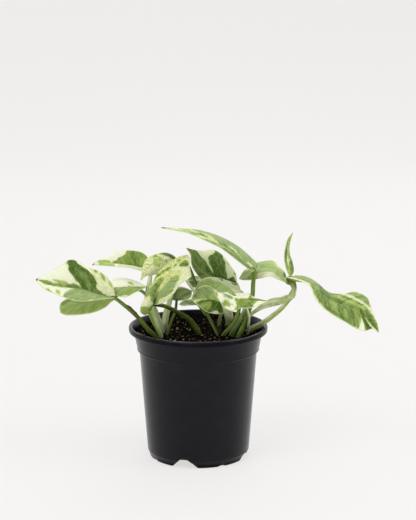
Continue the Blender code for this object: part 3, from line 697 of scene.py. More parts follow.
        ("grey", (50, -96), (56, -96), (64, -92), (77, -105), (78, -90), (72, -68), (60, -66)),
        ("yellow", (52, -97), (62, -93), (76, -110), (70, -130), (50, -130)),
        ("dark", (50, -20), (56, -10), (62, 30), (60, 70), (55, 30)),
        ("dark", (64, 10), (70, 10), (74, 50), (70, 80)),
        ("dark", (78, -50), (92, -50), (98, -20), (84, -10)),
        ("dark", (50, 80), (68, 74), (76, 92), (50, 92)),
        ("white", (77, 10), (80, 16), (84, 50), (88, 120), (83, 120), (80, 50)),
        ("deep", (73, -20), (78, -16), (85, 20), (91, 60), (93, 120), (89, 120), (85, 55), (78, 12)),
        ("cream", (82, 0), (90, 10), (98, 40), (98, 120), (94, 120), (92, 56), (86, 20)),
    ]),
    "leaf_shaded_left": ("dark", [
        ("light", (30, -120), (36, -70), (55, -50), (75, -60), (85, -120)),
        ("cream", (70, 120), (60, 90), (75, 85), (90, 120)),
        ("deep", (10, -90), (28, -90), (26, -40), (12, -40)),
    ]),
    "leaf_shaded_small": ("grey", [
        ("cream", (10, 70), (50, 60), (90, 70), (90, 120), (10, 120)),
        ("cream", (40, -80), (90, -80), (90, -120), (40, -120)),
    ]),
    "leaf_hidden_left": ("mid", [
        ("cream", (20, 5), (50, 20), (80, 60), (70, 120), (30, 120)),
        ("dark", (10, -10), (50, -10), (60, -60), (30, -80)),
    ]),
    "leaf_hidden_centre": ("grey", [
        ("white", (30, 5), (60, 10), (80, 50), (70, 120), (40, 120)),
        ("mid", (50, -10), (90, -10), (80, -70), (50, -90)),
    ]),
}


def outline_distance(x, y, outline):
    """Distance from each point to a closed smooth outline, negative inside."""
    closed = np.array(outline + outline[:1], float)
    around = np.vstack([outline[-1:], closed, outline[1:2]])
    points = catmull_rom(around, OUTLINE_STEPS)[OUTLINE_STEPS:-OUTLINE_STEPS]
    nearest = np.full(x.shape, np.inf)
    inside = np.zeros(x.shape, bool)
    for (ax, ay), (bx, by) in zip(points, points[1:]):
        dx, dy = bx - ax, by - ay
        share = np.clip(((x - ax) * dx + (y - ay) * dy) / max(dx * dx + dy * dy, NEARLY_ZERO), 0, 1)
        nearest = np.minimum(nearest, np.hypot(x - ax - share * dx, y - ay - share * dy))
        crosses = (ay > y) != (by > y)
        reach = ax + (y - ay) * dx / (dy if abs(dy) > NEARLY_ZERO else NEARLY_ZERO)
        inside ^= crosses & (x < reach)
    return np.where(inside, -nearest, nearest)


def paint_blade(blade, name):
    """Five values at each point of the blade: green, dark, cool, flecked and dry."""
    base, patches = PAINT[name]
    values = np.ones((*blade.off_rib.shape, 1)) * KINDS[base]
    widest = blade.width.max()
    x = np.broadcast_to(blade.along * blade.length, blade.off_rib.shape)
    y = np.broadcast_to(blade.across * widest, blade.off_rib.shape)
    jag = noise(blade.vein / JAG_LENGTH, blade.off_rib / JAG_WIDTH, blade.seed + JAG_SEED)
    for kind, *outline in patches:
        scaled = [(a / 100 * blade.length, b / 100 * widest) for a, b in outline]
        distance = outline_distance(x, y, scaled) + EDGE_JAG * jag
        crisp = np.clip(0.5 - distance / EDGE_REACH, 0, 1)[..., None]
        soft = smooth(0.5 - distance / EDGE_BLUR)[..., None]
        target = np.array(KINDS[kind], float)
        share = np.concatenate([crisp, np.repeat(soft, len(target) - 1, axis=-1)], axis=-1)
        values = mix(values, target, share)
    return values


# grain, detail and roughness of the leaf's noises
FINE = (0.85, 4, 0.7)
MARBLE = (0.32, 5, 0.65)
STREAK = (0.5, 5, 0.65)
SPOTS = (0.75, 3, 0.6)
WINDING = (0.5, 4, 0.65)
# and grain of its cells
SMALL_VEINS = 0.45
SKIN_CELLS = 2.2

# a green from light to dark
WARM_GREEN = ((0.400, 0.520, 0.090), (0.042, 0.098, 0.0))
COOL_GREEN = ((0.360, 0.465, 0.180), (0.050, 0.098, 0.014))
# the rest from warm to cool
BRIGHT_PALE = ((0.790, 0.780, 0.330), (0.880, 0.860, 0.665))
DIM_PALE = ((0.480, 0.520, 0.130), (0.540, 0.570, 0.340))
PALE_HAZE = ((0.450, 0.550, 0.090), (0.500, 0.600, 0.270))
GREEN_FLECK = ((0.270, 0.380, 0.030), (0.210, 0.310, 0.090))
# and single colours
VEIN_COLOUR = (0.560, 0.640, 0.300)
RIB_COLOUR = (0.520, 0.600, 0.250)
MARGIN_COLOUR = (0.660, 0.700, 0.340)
UNDERSIDE_COLOUR = (0.330, 0.420, 0.200)
DRY_COLOUR = (0.150, 0.080, 0.035)


def leaf_green(f, dark, cool, fleck, streaks, fine):
    """Green tissue, marbled from light to dark and the more so where it is flecked."""
    marble = f.step(f.noise(streaks, *MARBLE), -0.1, 0.25, -1.0, 1.0)
    depth = f.plus(dark, f.times(marble, f.plus(0.06, f.times(fleck, 0.6))))
    depth = f.plus(depth, f.times(fine, 0.12), clamp=True)
    return f.mix(cool, f.mix(depth, *WARM_GREEN), f.mix(depth, *COOL_GREEN))


def leaf_pale(f, dark, cool, fleck, streaks, ragged):
    """Pale tissue, hazed with green near the green tissue and streaked with it."""
    pale = f.mix(dark, f.mix(cool, *BRIGHT_PALE), f.mix(cool, *DIM_PALE))
    haze = f.step(ragged, 0.05, 0.46, 0.0, 0.5)
    streak = f.step(f.noise(streaks, *STREAK), 0.15, 0.75, 0.0, 0.45)
    streak = f.times(streak, f.step(fleck, 0.0, 0.2))
    return f.mix(f.math("MAXIMUM", haze, streak), pale, f.mix(cool, *PALE_HAZE))


def leaf_flecks(f, fleck, streaks):
    """Up to 1 in the spots and winding lines where either tissue shows in the other."""
    spots = f.noise(streaks, *SPOTS)
    limit = f.minus(1.15, f.times(fleck, 1.05))
    spotted = f.step(f.minus(spots, limit), -0.06, 0.06)
    winding = f.math("ABSOLUTE", f.noise(streaks, *WINDING))
    breadth = f.times(f.minus(fleck, 0.2), 0.24)
    netted = f.step(f.minus(breadth, winding), -0.03, 0.03, 0.0, 0.8)
    return f.math("MAXIMUM", spotted, netted)


def leaf_lines(f, colour, side_vein, off_rib, inset, streaks):
    """The leaf's colour with its pale side veins, net of small veins, rib and margin."""
    net = f.cells(streaks, SMALL_VEINS, "DISTANCE_TO_EDGE")["Distance"]
    lines = f.math("MAXIMUM", f.step(side_vein, 0.0, 0.16, 0.2, 0.0), f.step(net, 0.0, 0.09, 0.2, 0.0))
    colour = f.mix(lines, colour, VEIN_COLOUR)
    rib = f.step(f.math("ABSOLUTE", off_rib), 0.1, 0.6, 0.35, 0.0)
    colour = f.mix(rib, colour, RIB_COLOUR)
    return f.mix(f.step(inset, 0.3, 0.8, 0.8, 0.0), colour, MARGIN_COLOUR)


def leaf_finish():
    """Waxy leaf: crisp green and pale from the stored values, marbled, flecked and finely veined."""
    f = Finish("leaf")
    paint = f.attribute("variegation")
    green, dark, cool = f.split(paint.outputs["Vector"])
    fleck = paint.outputs["Alpha"]
    place = f.attribute("blade").outputs["Vector"]
    vein, off_rib, _ = f.split(place)
    upper, dry, inset = f.split(f.attribute("skin").outputs["Vector"])
    streaks = f.stretch(place, 1.0, 0.35)
    fine = f.noise(streaks, *FINE)
    ragged = f.plus(green, f.times(fine, 0.3))
    is_green = f.step(ragged, 0.44, 0.56)
    side_vein = f.math("ABSOLUTE", f.math("SINE", f.times(vein, math.pi / VEIN_SPACING)))

    green_tone = leaf_green(f, dark, cool, fleck, streaks, fine)
    pale = leaf_pale(f, dark, cool, fleck, streaks, ragged)
    fleck_tone = f.mix(is_green, f.mix(cool, *GREEN_FLECK), f.mix(0.5, pale, green_tone))
    colour = f.mix(is_green, pale, green_tone)
    colour = f.mix(leaf_flecks(f, fleck, streaks), colour, fleck_tone)
    colour = leaf_lines(f, colour, side_vein, off_rib, inset, streaks)
    colour = f.mix(f.step(upper, 0.0, 1.0, 0.3, 0.0), colour, UNDERSIDE_COLOUR)
    colour = f.mix(dry, colour, DRY_COLOUR)

    grain = f.cells(streaks, SKIN_CELLS)["Distance"]
    height = f.plus(f.times(grain, 0.35), fine)
    height = f.plus(height, f.step(side_vein, 0.0, 0.2, -0.6, 0.0))
    f.surface(Base_Color=colour, Roughness=f.step(upper, 0.0, 1.0, 0.6, 0.42),
              Normal=f.bump(height, 0.00010))
    f.surface(Specular_IOR_Level=0.12, Subsurface_Weight=0.08, Subsurface_Scale=0.001)
    f.surface(Subsurface_Radius=(0.6, 1.0, 0.2))
    return f.material


def make_leaf(name, number, blade, finish):
    top, bottom = blade.skins()
    rows, columns = top.shape[:2]
    verts = np.vstack([top.reshape(-1, 3), bottom.reshape(-1, 3)])
    leaf = mesh_object(name + "_blade", verts, skin_faces(rows, columns), finish, name)
    paint = paint_blade(blade, name).reshape(-1, 5)
    store(leaf.data, "variegation", "FLOAT_COLOR", np.vstack([paint[:, :4]] * 2))
    own = np.full(blade.off_rib.shape, NOISE_SHIFT * number)
    place = np.stack([blade.vein, blade.off_rib, own], -1).reshape(-1, 3)
    store(leaf.data, "blade", "FLOAT_VECTOR", np.vstack([place] * 2))
    dry, inset = paint[:, 4], blade.inset.ravel()
    skins = [np.column_stack([np.full(len(dry), side), dry, inset]) for side in (1.0, 0.0)]
    store(leaf.data, "skin", "FLOAT_VECTOR", np.vstack(skins))
    u = np.broadcast_to(UV_GAP + UV_HALF_WIDTH * (blade.across + 1), (rows, columns)).ravel()
    v = np.broadcast_to(UV_GAP + (1 - 2 * UV_GAP) * blade.along, (rows, columns)).ravel()
    store_uv(leaf.data, np.vstack([np.column_stack([u + shift, v]) for shift in (0.0, 0.5)]))


# ---------------------------------------------------------------- stalks and stems

# points round a stalk, and spacing of its rings
STALK_RING = 24
STALK_STEP = 0.8
ROOT_DEPTH = 6.0
# how much thicker a stalk is at its foot and at a knuckle, and over what stretch
FOOT_SWELL = 0.1
FOOT_REACH = 5.0
KNUCKLE_SWELL = 0.3
KNUCKLE_REACH = 2.2
# brightness of the foot, darkened near the soil as painted shade and dirt, and how far above the soil the
# darkening ends
FOOT_SHADE_AND_DIRT = 0.5
FOOT_SHADE_AND_DIRT_REACH = 8.0
# groove down the front: share of the radius, and half its breadth in radians
GROOVE_DEPTH = 0.16
GROOVE_ANGLE = 0.4

# last points of a stalk: share of the way along its leaf's rib, and depth below it
RIB_PLACES = ((0.05, 0.9), (0.14, 0.7))
STALK_END = 0.2

# name: route from the soil, or from the stem, up to the leaf, and the radius at each end
STALKS = {
    "stem_left": (
        ((-33, -14, 98), (-39, -15, 105), (-46, -16, 114), (-55, -18, 123), (-64, -18, 130)), (1.9, 1.3)),
    "stalk_low_left": (
        ((-27, -3, 98), (-31, 0, 111), (-35, 2, 120), (-39, 2, 126), (-45, 1, 131.5), (-53, 2, 132),
         (-60, -3, 130), (-65, -11, 127.5)), (1.6, 1.0)),
    "stalk_back_left": (
        ((-29, -11, 98), (-33, -9, 109), (-37, -6, 119), (-38.5, -3, 126), (-38, 5, 135),
         (-37, 17, 142.5)), (1.7, 1.2)),
    "stalk_cream_front": (
        ((1, -6, 98), (-6, -9, 110), (-14, -12, 116), (-20, -14, 120), (-26, -16, 123),
         (-33.8, -18, 125)), (2.1, 1.4)),
    "stalk_hidden_left": (
        ((-27, 4, 98), (-25, 7, 111), (-22, 14, 121), (-20, 22, 130), (-18, 29.3, 136.8)), (2.0, 1.2)),
    "stalk_shaded_left": (
        ((-24, -6.5, 98), (-21, 3, 106), (-18, 11, 112), (-17, 17.5, 119)), (1.4, 1.0)),
    "stalk_speckled": (
        ((15, -8, 98), (7, -4, 114), (-1, 2, 134), (-6, 5, 147), (-10, 5, 152), (-17, 4, 154)),
         (1.2, 1.05)),
    "stalk_centre_front": (
        ((16, 0, 98), (17, -4, 111), (20.5, -11.5, 122.5)), (1.4, 1.1)),
    "stalk_folded_front": (
        ((24, 3, 98), (24, -5, 108), (23, -18, 118), (20, -24, 127), (17, -26.5, 133.5)), (2.6, 1.4)),
    "stalk_tall_back": (
        ((19, -12.5, 98), (25.5, -13, 106.5), (31, -6, 115.5), (32, 7, 122), (32, 16, 127),
         (30, 21.5, 131.5)), (1.7, 1.2)),
    "stalk_centre_back": (
        ((26, -8, 98), (31, -8, 108), (35.5, -7, 117), (36, -4, 124), (33.2, -2, 130.7)), (2.3, 1.2)),
    "stalk_top_long": (
        ((31, -14, 98), (35, -12.5, 107), (39, -11, 118), (41.6, -8, 128), (42.4, -6, 139),
         (43, -6, 149)), (2.0, 1.5)),
    "shoot_curved": (
        ((38.5, -5, 98), (38.6, -12, 106), (39, -17.5, 112.5), (38.3, -20.5, 118.5), (36.8, -23, 123),
         (34.8, -25.5, 126.8)), (1.3, 0.7)),
    "stem_right": (
        ((39.5, 4, 98), (50, -3, 106.3), (58.6, -3.5, 113), (65.5, -3, 119), (72.4, -2, 127.5)),
         (2.7, 1.4)),
    "stem_wing": (
        ((34, 0, 98), (39.4, 2, 110), (48, 3.5, 116.7), (57, 4, 120.9), (64, 4, 122.4),
         (68.7, 3.4, 125.2)), (1.4, 1.1)),
    "stem_neck": (
        ((72.5, -2, 128), (74, -1.5, 134), (71.5, -0.5, 141)), (2.1, 1.6)),
    "stalk_arched_right": (
        ((73, 1.5, 136), (71.6, 6, 135), (69.3, 10.2, 134.9)), (0.9, 0.8)),
    "stalk_hidden_centre": (
        ((6.8, 0, 117), (1, 5, 124), (-4, 9, 130), (-8, 16, 134), (-9, 22, 134)), (1.3, 1.0)),
    "stalk_shaded_small": (
        ((6, -2.3, 112), (2, 1, 117), (-0.8, 3.8, 119.8)), (0.9, 0.8)),
}
UNROOTED = ("stem_neck", "stalk_arched_right", "stalk_hidden_centre", "stalk_shaded_small")

# stalk: place within the stalk that it grows from, and place within the one that it runs into
GROWS_FROM = {"stem_neck": (72.5, -2, 126)}
RUNS_INTO = {"stem_wing": (71.8, -0.5, 127.5)}

# stalk: the leaf that it runs into, which is the one of the same name for all but two
CARRIES = {"stem_left": "leaf_far_left", "stem_neck": "leaf_far_right"}
CARRIES |= {name: name.replace("stalk", "leaf") for name in STALKS if name.startswith("stalk")}

# stalk: where along it it is widest, how much wider than thick it is there, and over what stretch
WINGS = {
    "stem_wing": (0.74, 1.7, 0.2),
    "stem_neck": (0.62, 1.2, 0.2),
    "stalk_back_left": (0.42, 1.2, 0.26),
    "stalk_hidden_left": (0.25, 0.5, 0.3),
    "stalk_folded_front": (0.6, 0.8, 0.3),
}
NO_WING = (0.5, 0.0, 1.0)

# direction that no stalk starts in
RING_START = (0.0, 1.0, 0.01)

# stalk: where along it a knuckle swells
KNUCKLES = {"stem_right": 0.98, "stem_neck": 0.1, "stem_wing": 0.99}

STALK_TINTS = {
    "dark": (0.050, 0.085, 0.006),
    "olive": (0.130, 0.170, 0.022),
    "green": (0.220, 0.320, 0.060),
    "pale": (0.420, 0.500, 0.190),
    "cream": (0.740, 0.750, 0.460),
}

# stalk: tint at the foot, halfway and at the top, and that of its upper side, which is painted light from
# above
# stalk_folded_front and stem_right are given cream at the foot as painted light, where the leaves shade
# them
STALK_COLOURS = {
    "stem_left": ("olive", "olive", "green", "olive"),
    "stalk_low_left": ("cream", "pale", "dark", "cream"),
    "stalk_back_left": ("green", "pale", "green", "cream"),
    "stalk_cream_front": ("olive", "dark", "dark", "olive"),
    "stalk_hidden_left": ("cream", "cream", "pale", "cream"),
    "stalk_shaded_left": ("dark", "dark", "dark", "olive"),
    "stalk_speckled": ("green", "green", "dark", "olive"),
    "stalk_centre_front": ("pale", "pale", "pale", "cream"),
    "stalk_folded_front": ("cream", "cream", "cream", "cream"),
    "stalk_tall_back": ("olive", "olive", "dark", "green"),
    "stalk_centre_back": ("green", "pale", "pale", "cream"),
    "stalk_top_long": ("olive", "olive", "green", "green"),
    "shoot_curved": ("cream", "cream", "cream", "cream"),
    "stem_right": ("cream", "pale", "pale", "cream"),
    "stem_wing": ("pale", "cream", "cream", "cream"),
    "stem_neck": ("cream", "olive", "pale", "green"),
    "stalk_arched_right": ("green", "green", "green", "green"),
    "stalk_hidden_centre": ("cream", "cream", "cream", "cream"),
    "stalk_shaded_small": ("green", "green", "green", "green"),
}


# shares of the way along at which the first three tints are reached
TINT_PLACES = (0.15, 0.5, 0.9)
# strength of the upper side's tint, which is painted light from above, how fast it comes as the surface
# turns up, and how early
UPPER_PAINTED_LIGHT = 0.85
UPPER_PAINTED_LIGHT_RATE = 1.8
UPPER_PAINTED_LIGHT_LEAD = 0.15
STREAK_SHADE = (0.52, 0.62, 0.38)
PALE_STREAK = (0.520, 0.580, 0.290)
DARK_FLECK = (0.060, 0.095, 0.015)


def tube_rings(points, widths, depths):
    """Rings of points round a route, as wide and as deep as told, in a frame that doesn't twist."""
    ahead = unit(np.gradient(points, axis=0))
    side = np.cross(ahead[0], RING_START)
    turns = np.linspace(0, 2 * math.pi, STALK_RING, endpoint=False)
    groove = 1 - GROOVE_DEPTH * np.exp(-((turns - math.pi / 2) / GROOVE_ANGLE) ** 2)
    rings = []
    for place, heading, width, depth in zip(points, ahead, widths, depths):
        side = unit(side - heading * (side @ heading))
        front = np.cross(heading, side)
        x, y = np.cos(turns) * width, np.sin(turns) * depth * groove
        rings.append(place + x[:, None] * side + y[:, None] * front)
    return np.array(rings)


def stalk_finish():
    """Satin stalk, streaked along its length, with darker flecks."""
    f = Finish("stalk")
    tint = f.attribute("tint").outputs["Color"]
    place = f.attribute("stalk").outputs["Vector"]
    streaks = f.stretch(place, 0.1, 8.0)
    spots = f.stretch(place, 0.5, 3.0)
    light = f.step(f.noise(streaks, 1.0, 4), -0.35, 0.4)
    colour = f.mix(light, f.mix(1.0, tint, STREAK_SHADE, "MULTIPLY"), tint)
    pale_streak = f.step(f.noise(streaks, 0.6, 3), 0.4, 1.1, 0.0, 0.45)
    colour = f.mix(pale_streak, colour, PALE_STREAK)
    dark_fleck = f.step(f.noise(spots, 1.0, 4), 0.7, 0.9, 0.0, 0.6)
    colour = f.mix(dark_fleck, colour, DARK_FLECK)
    f.surface(Base_Color=colour, Roughness=0.42, Normal=f.bump(light, 0.00005))
    f.surface(Specular_IOR_Level=0.16, Subsurface_Weight=0.1, Subsurface_Scale=0.001)
    f.surface(Subsurface_Radius=(0.6, 1.0, 0.3))
    return f.material


def rooted_route(name):
    """Route as far as the table gives it, and for a stalk with a foot from below the soil."""
    route = [np.array(p, float) for p in STALKS[name][0]]
    if name not in UNROOTED:
        route.insert(0, route[0] - (0, 0, ROOT_DEPTH))
    return route


def stalk_route(name, blades):
    """Route from below the soil up to the leaf, and on along the underside of its rib."""
    route = rooted_route(name)
    if name in GROWS_FROM:
        route.insert(0, np.array(GROWS_FROM[name], float))
    if name in RUNS_INTO:
        route.append(np.array(RUNS_INTO[name], float))
    if name in CARRIES:
        route += [blades[CARRIES[name]].under_rib(*place) for place in RIB_PLACES]
    return route


def stalk_radii(name, points, reach):
    """Half width and half depth at each point of the route, which lies at reach along it."""
    share = reach / reach[-1]
    depths = mix(*STALKS[name][1], share)
    depths *= 1 + FOOT_SWELL * np.exp(-reach / FOOT_REACH) * (name not in UNROOTED)
    if name in KNUCKLES:
        away = (share - KNUCKLES[name]) * reach[-1]
        depths *= 1 + KNUCKLE_SWELL * np.exp(-(away / KNUCKLE_REACH) ** 2)
    if name in CARRIES:
        tip = np.linalg.norm(points - np.array(STALKS[name][0][-1]), axis=1).argmin()
        depths[tip:] *= np.linspace(1, STALK_END, len(points) - tip)
    peak, extra, spread = WINGS.get(name, NO_WING)
    return depths * (1 + extra * np.exp(-((share - peak) / spread) ** 2)), depths


def stalk_tint(name, rings, points, reach):
    """Colour at each point of each ring: darker at the foot as painted shade and dirt, and with painted
    light on the upper side.
    """
    *tints, upper = [np.array(STALK_TINTS[key]) for key in STALK_COLOURS[name]]
    share = reach / reach[-1]
    tint = np.column_stack([np.interp(share, TINT_PLACES, column) for column in np.transpose(tints)])
    rise = unit(rings - points[:, None])[..., 2:]
    # painted light: the more the surface faces up, the more it takes the upper side's tint
    tint = mix(tint[:, None], upper, UPPER_PAINTED_LIGHT * smooth(UPPER_PAINTED_LIGHT_RATE * rise + UPPER_PAINTED_LIGHT_LEAD))
    # painted shade and dirt: the foot is darkened near the soil
    if name not in UNROOTED:
        tint *= mix(FOOT_SHADE_AND_DIRT, 1.0, smooth((reach - ROOT_DEPTH) / FOOT_SHADE_AND_DIRT_REACH))[:, None, None]
    return np.concatenate([tint, np.ones((*tint.shape[:2], 1))], axis=-1)


def make_stalk(name, number, finish, blades):
    route = stalk_route(name, blades)
    length = curve_length(route)
    count = round(length / STALK_STEP)
    points = even_points(route, count)
    reach = np.linspace(0, length, count + 1)
    rings = tube_rings(points, *stalk_radii(name, points, reach))
    faces = grid_faces(count + 1, STALK_RING, closed=True)
    faces.append(tuple(range(STALK_RING - 1, -1, -1)))
    faces.append(tuple(range(count * STALK_RING, (count + 1) * STALK_RING)))
    stalk = mesh_object(name + "_tube", rings.reshape(-1, 3), faces, finish, name)
    store(stalk.data, "tint", "FLOAT_COLOR", stalk_tint(name, rings, points, reach))
    around = np.abs(np.linspace(-0.5, 0.5, STALK_RING, endpoint=False))
    place = np.stack(np.broadcast_arrays(reach[:, None], around, NOISE_SHIFT * number), -1)
    store(stalk.data, "stalk", "FLOAT_VECTOR", place)


# ---------------------------------------------------------------- dry sheaths

SHEATH_ROWS = 26
SHEATH_COLUMNS = 22
SHEATH_GAP = 0.15
SHEATH_THICKNESS = 0.25
# how far the top stands off the stalk, and how high the wrinkles are
SHEATH_FLARE = 0.4
SHEATH_WRINKLE = 0.1
# how many wrinkles there are round it and up it, in radians
SHEATH_WAVES = (9, 4)
# shares of the stretch by which tears, and the slope to the sides, shorten it
SHEATH_RAGGED = 0.3
SHEATH_ROUNDED = 0.35
# the tears' noise: from the middle to a side, where the middle is, and the seed
TEAR_REACH = 3
TEAR_START = 5
TEAR_SEED = 80
SHEATH_FIBRES = 10
SHEATH_ROUTE_STEPS = 200
SHEATH_BROWNS = ((0.040, 0.020, 0.011), (0.180, 0.100, 0.055))

# name: the stalk that it wraps, the stretch of it, and the angles in degrees
SHEATHS = {
    "sheath_left": ("stem_left", (0.58, 0.79), (165, 240)),
    "sheath_centre": ("stalk_folded_front", (0.13, 0.34), (-150, 10)),
    "sheath_low": ("stalk_centre_front", (0.18, 0.44), (150, 330)),
}


def sheath_finish():
    """Dry brown skin with paler fibres along it."""
    f = Finish("dry_sheath")
    place = f.attribute("sheath").outputs["Vector"]
    fibres = f.noise(f.stretch(place, 0.3, 3.0), 1.0, 4)
    f.surface(Base_Color=f.mix(f.step(fibres, -0.8, 0.8), *SHEATH_BROWNS), Roughness=0.7,
              Normal=f.bump(fibres, 0.0001))
    return f.material


def make_sheath(name, number, finish):
    """Part of a tube round a stalk: ragged at the top, and standing off it a little there."""
    stalk, stretch, angles = SHEATHS[name]
    points = even_points(rooted_route(stalk), SHEATH_ROUTE_STEPS)
    ahead = unit(np.gradient(points, axis=0))
    side = unit(np.cross(ahead, (0.0, 1.0, 0.0)))
    front = np.cross(side, ahead)
    share = np.linspace(0, 1, SHEATH_ROWS)[:, None]
    turn = np.linspace(-1, 1, SHEATH_COLUMNS)
    tears = np.abs(noise(turn * TEAR_REACH + TEAR_START, np.zeros(SHEATH_COLUMNS), TEAR_SEED + number))
    ragged = (1 - SHEATH_RAGGED * tears) * (1 - SHEATH_ROUNDED * turn ** 2)
    place = mix(*stretch, share * ragged)
    step = np.rint(place * SHEATH_ROUTE_STEPS).astype(int)
    angle = np.radians(mix(*angles, 0.5 + 0.5 * turn))[:, None]
    outward = side[step] * np.cos(angle) + front[step] * np.sin(angle)
    wrinkle = SHEATH_WRINKLE * np.sin(SHEATH_WAVES[0] * turn + SHEATH_WAVES[1] * share)
    radius = mix(*STALKS[stalk][1], place) + SHEATH_GAP + SHEATH_FLARE * share ** 3 + wrinkle
    skins = [points[step] + (radius + lift)[..., None] * outward for lift in (SHEATH_THICKNESS, 0.0)]
    sheath = mesh_object(name + "_skin", np.concatenate(skins).reshape(-1, 3),
                         skin_faces(SHEATH_ROWS, SHEATH_COLUMNS), finish, name)
    marks = np.stack(np.broadcast_arrays(share * SHEATH_FIBRES, turn, NOISE_SHIFT * number), -1)
    store(sheath.data, "sheath", "FLOAT_VECTOR", np.concatenate([marks, marks]))


# ---------------------------------------------------------------- pot

RIM_RADIUS = 54.0
RIM_HEIGHT = 104.0
LIP_DEPTH = 4.6
COLLAR_TOP_RADIUS = 50.0
COLLAR_BOTTOM_RADIUS = 47.3
COLLAR_BOTTOM = 85.6
WALL_TOP_RADIUS = 45.7
WALL_BOTTOM_RADIUS = 39.7
FOOT_TOP = 5.0
FOOT_RADIUS = 37.8
FOOT_INNER_RADIUS = 35.2
FLOOR_BOTTOM = 6.2
FOOT_SHOULDER = 1.3
WALL = 1.2
# share of the wall's height at which its corner above the foot lies
WALL_LOW = 0.07
LIP_WIDTH = 2.7
RIM_ROLL = 1.2
POT_SIDES = 256
# drain notches: direction of the first in degrees, how many, and width at the bottom, width
# at the top and height of each; a small one lies halfway between two big ones
BIG_NOTCH_ANGLE = 254.0
BIG_NOTCHES = 4
BIG_NOTCH_SIZE = (21.5, 5.6, 7.0)
SMALL_NOTCH_SIZE = (5.6, 4.4, 1.2)
DRAIN_RING_RADIUS = 25.0
DRAIN_RADIUS = 4.0
SOIL_TOP = 98.0
FILLET_STEPS = 5
FILLET_SHARE = 0.45
DRILL_SIDES = 32
# share of the loss of gloss on the lip's outer face, which paints a darker reflection there
LIP_PAINTED_DARK_REFLECTION = 0.7
PLASTIC_BLACKS = ((0.0008, 0.0008, 0.0031), (0.0060, 0.0061, 0.0093))


def inner_radius(height):
    """Inside radius of the wall, and of the collar, which is thickest at its ledge."""
    if height < COLLAR_BOTTOM:
        share = (height - FLOOR_BOTTOM) / (COLLAR_BOTTOM - FLOOR_BOTTOM)
        return mix(WALL_BOTTOM_RADIUS, WALL_TOP_RADIUS, share) - WALL
    share = (height - COLLAR_BOTTOM) / (RIM_HEIGHT - LIP_DEPTH - COLLAR_BOTTOM)
    return mix(WALL_TOP_RADIUS, COLLAR_TOP_RADIUS, share) - WALL


def pot_corners():
    """Corners of the section as (radius, height, rounding), from the middle of the underside
    round the outside to the middle of the floor."""
    lip_bottom = RIM_HEIGHT - LIP_DEPTH
    floor_top = FLOOR_BOTTOM + WALL
    wall_low = (mix(WALL_BOTTOM_RADIUS, WALL_TOP_RADIUS, WALL_LOW),
                mix(FOOT_TOP, COLLAR_BOTTOM, WALL_LOW))
    underside = [(0, FLOOR_BOTTOM, 0), (FOOT_INNER_RADIUS - 0.6, FLOOR_BOTTOM, 0.5)]
    foot = [(FOOT_INNER_RADIUS, 0, 0.4), (FOOT_RADIUS, 0, 1.2),
            (FOOT_RADIUS + FOOT_SHOULDER, FOOT_TOP - 0.5, 0.4), (WALL_BOTTOM_RADIUS, FOOT_TOP + 0.3, 1.0)]
    wall = [(*wall_low, 1.5), (WALL_TOP_RADIUS, COLLAR_BOTTOM - 0.8, 0.5)]
    collar = [(COLLAR_BOTTOM_RADIUS + 0.3, COLLAR_BOTTOM, 0.5),
              (COLLAR_BOTTOM_RADIUS + 0.1, COLLAR_BOTTOM + 1.2, 0.5), (COLLAR_TOP_RADIUS, lip_bottom, 0.8)]
    lip = [(RIM_RADIUS - 0.3, lip_bottom + 0.1, 1.2), (RIM_RADIUS, RIM_HEIGHT - 0.2, 2.2),
           (RIM_RADIUS - LIP_WIDTH, RIM_HEIGHT, RIM_ROLL)]
    inside = [(inner_radius(SOIL_TOP), SOIL_TOP, 1.5), (inner_radius(COLLAR_BOTTOM), COLLAR_BOTTOM, 1.0),
              (inner_radius(FLOOR_BOTTOM), floor_top, 1.0), (0, floor_top, 0)]
    return underside + foot + wall + collar + lip + inside


def round_corners(corners):
    """Section with a curve at each corner, as large as its rounding but within the sides by it."""
    section = [corners[0][:2]]
    for before, corner, after in zip(corners, corners[1:], corners[2:]):
        p0, p1, p2 = (np.array(c[:2], float) for c in (before, corner, after))
        back = min(corner[2], FILLET_SHARE * np.linalg.norm(p0 - p1))
        ahead = min(corner[2], FILLET_SHARE * np.linalg.norm(p2 - p1))
        start, end = p1 + unit(p0 - p1) * back, p1 + unit(p2 - p1) * ahead
        for t in np.linspace(0, 1, FILLET_STEPS):
            section.append(tuple((1 - t) ** 2 * start + 2 * t * (1 - t) * p1 + t * t * end))
    section.append(corners[-1][:2])
    return np.array(section)


def notch_height(turns):
    """Height up to which the foot is cut away, for angles in radians."""
    height = np.zeros(turns.shape)
    step = 2 * math.pi / BIG_NOTCHES
    for shift, (bottom, top, size) in ((0.0, BIG_NOTCH_SIZE), (0.5, SMALL_NOTCH_SIZE)):
        turn = turns - math.radians(BIG_NOTCH_ANGLE) - shift * step
        away = np.abs((turn / step + 0.5) % 1 - 0.5) * step * FOOT_RADIUS
        height = np.maximum(height, size * np.clip((bottom / 2 - away) / (bottom / 2 - top / 2), 0, 1))
    return height


def revolve(section, sides, shape):
    """Vertices and faces of a solid turned from a section that starts and ends on the axis.

    shape takes the radius, the angle and the height of every vertex and gives its height.
    """
    turns = np.linspace(0, 2 * math.pi, sides, endpoint=False)
    radius = section[1:-1, :1] * np.ones((1, sides))
    angle = np.ones((len(section) - 2, 1)) * turns
    height = shape(radius, angle, section[1:-1, 1:] * np.ones((1, sides)))
    rings = np.stack([radius * np.cos(angle), radius * np.sin(angle), height], -1).reshape(-1, 3)
    ends = [(0, 0, section[0, 1]), (0, 0, section[-1, 1])]
    count = len(rings)
    faces = grid_faces(len(section) - 2, sides, closed=True)
    faces += [(count, (i + 1) % sides, i) for i in range(sides)]
    faces += [(count + 1, count - sides + i, count - sides + (i + 1) % sides) for i in range(sides)]
    return np.vstack([rings, ends]), faces


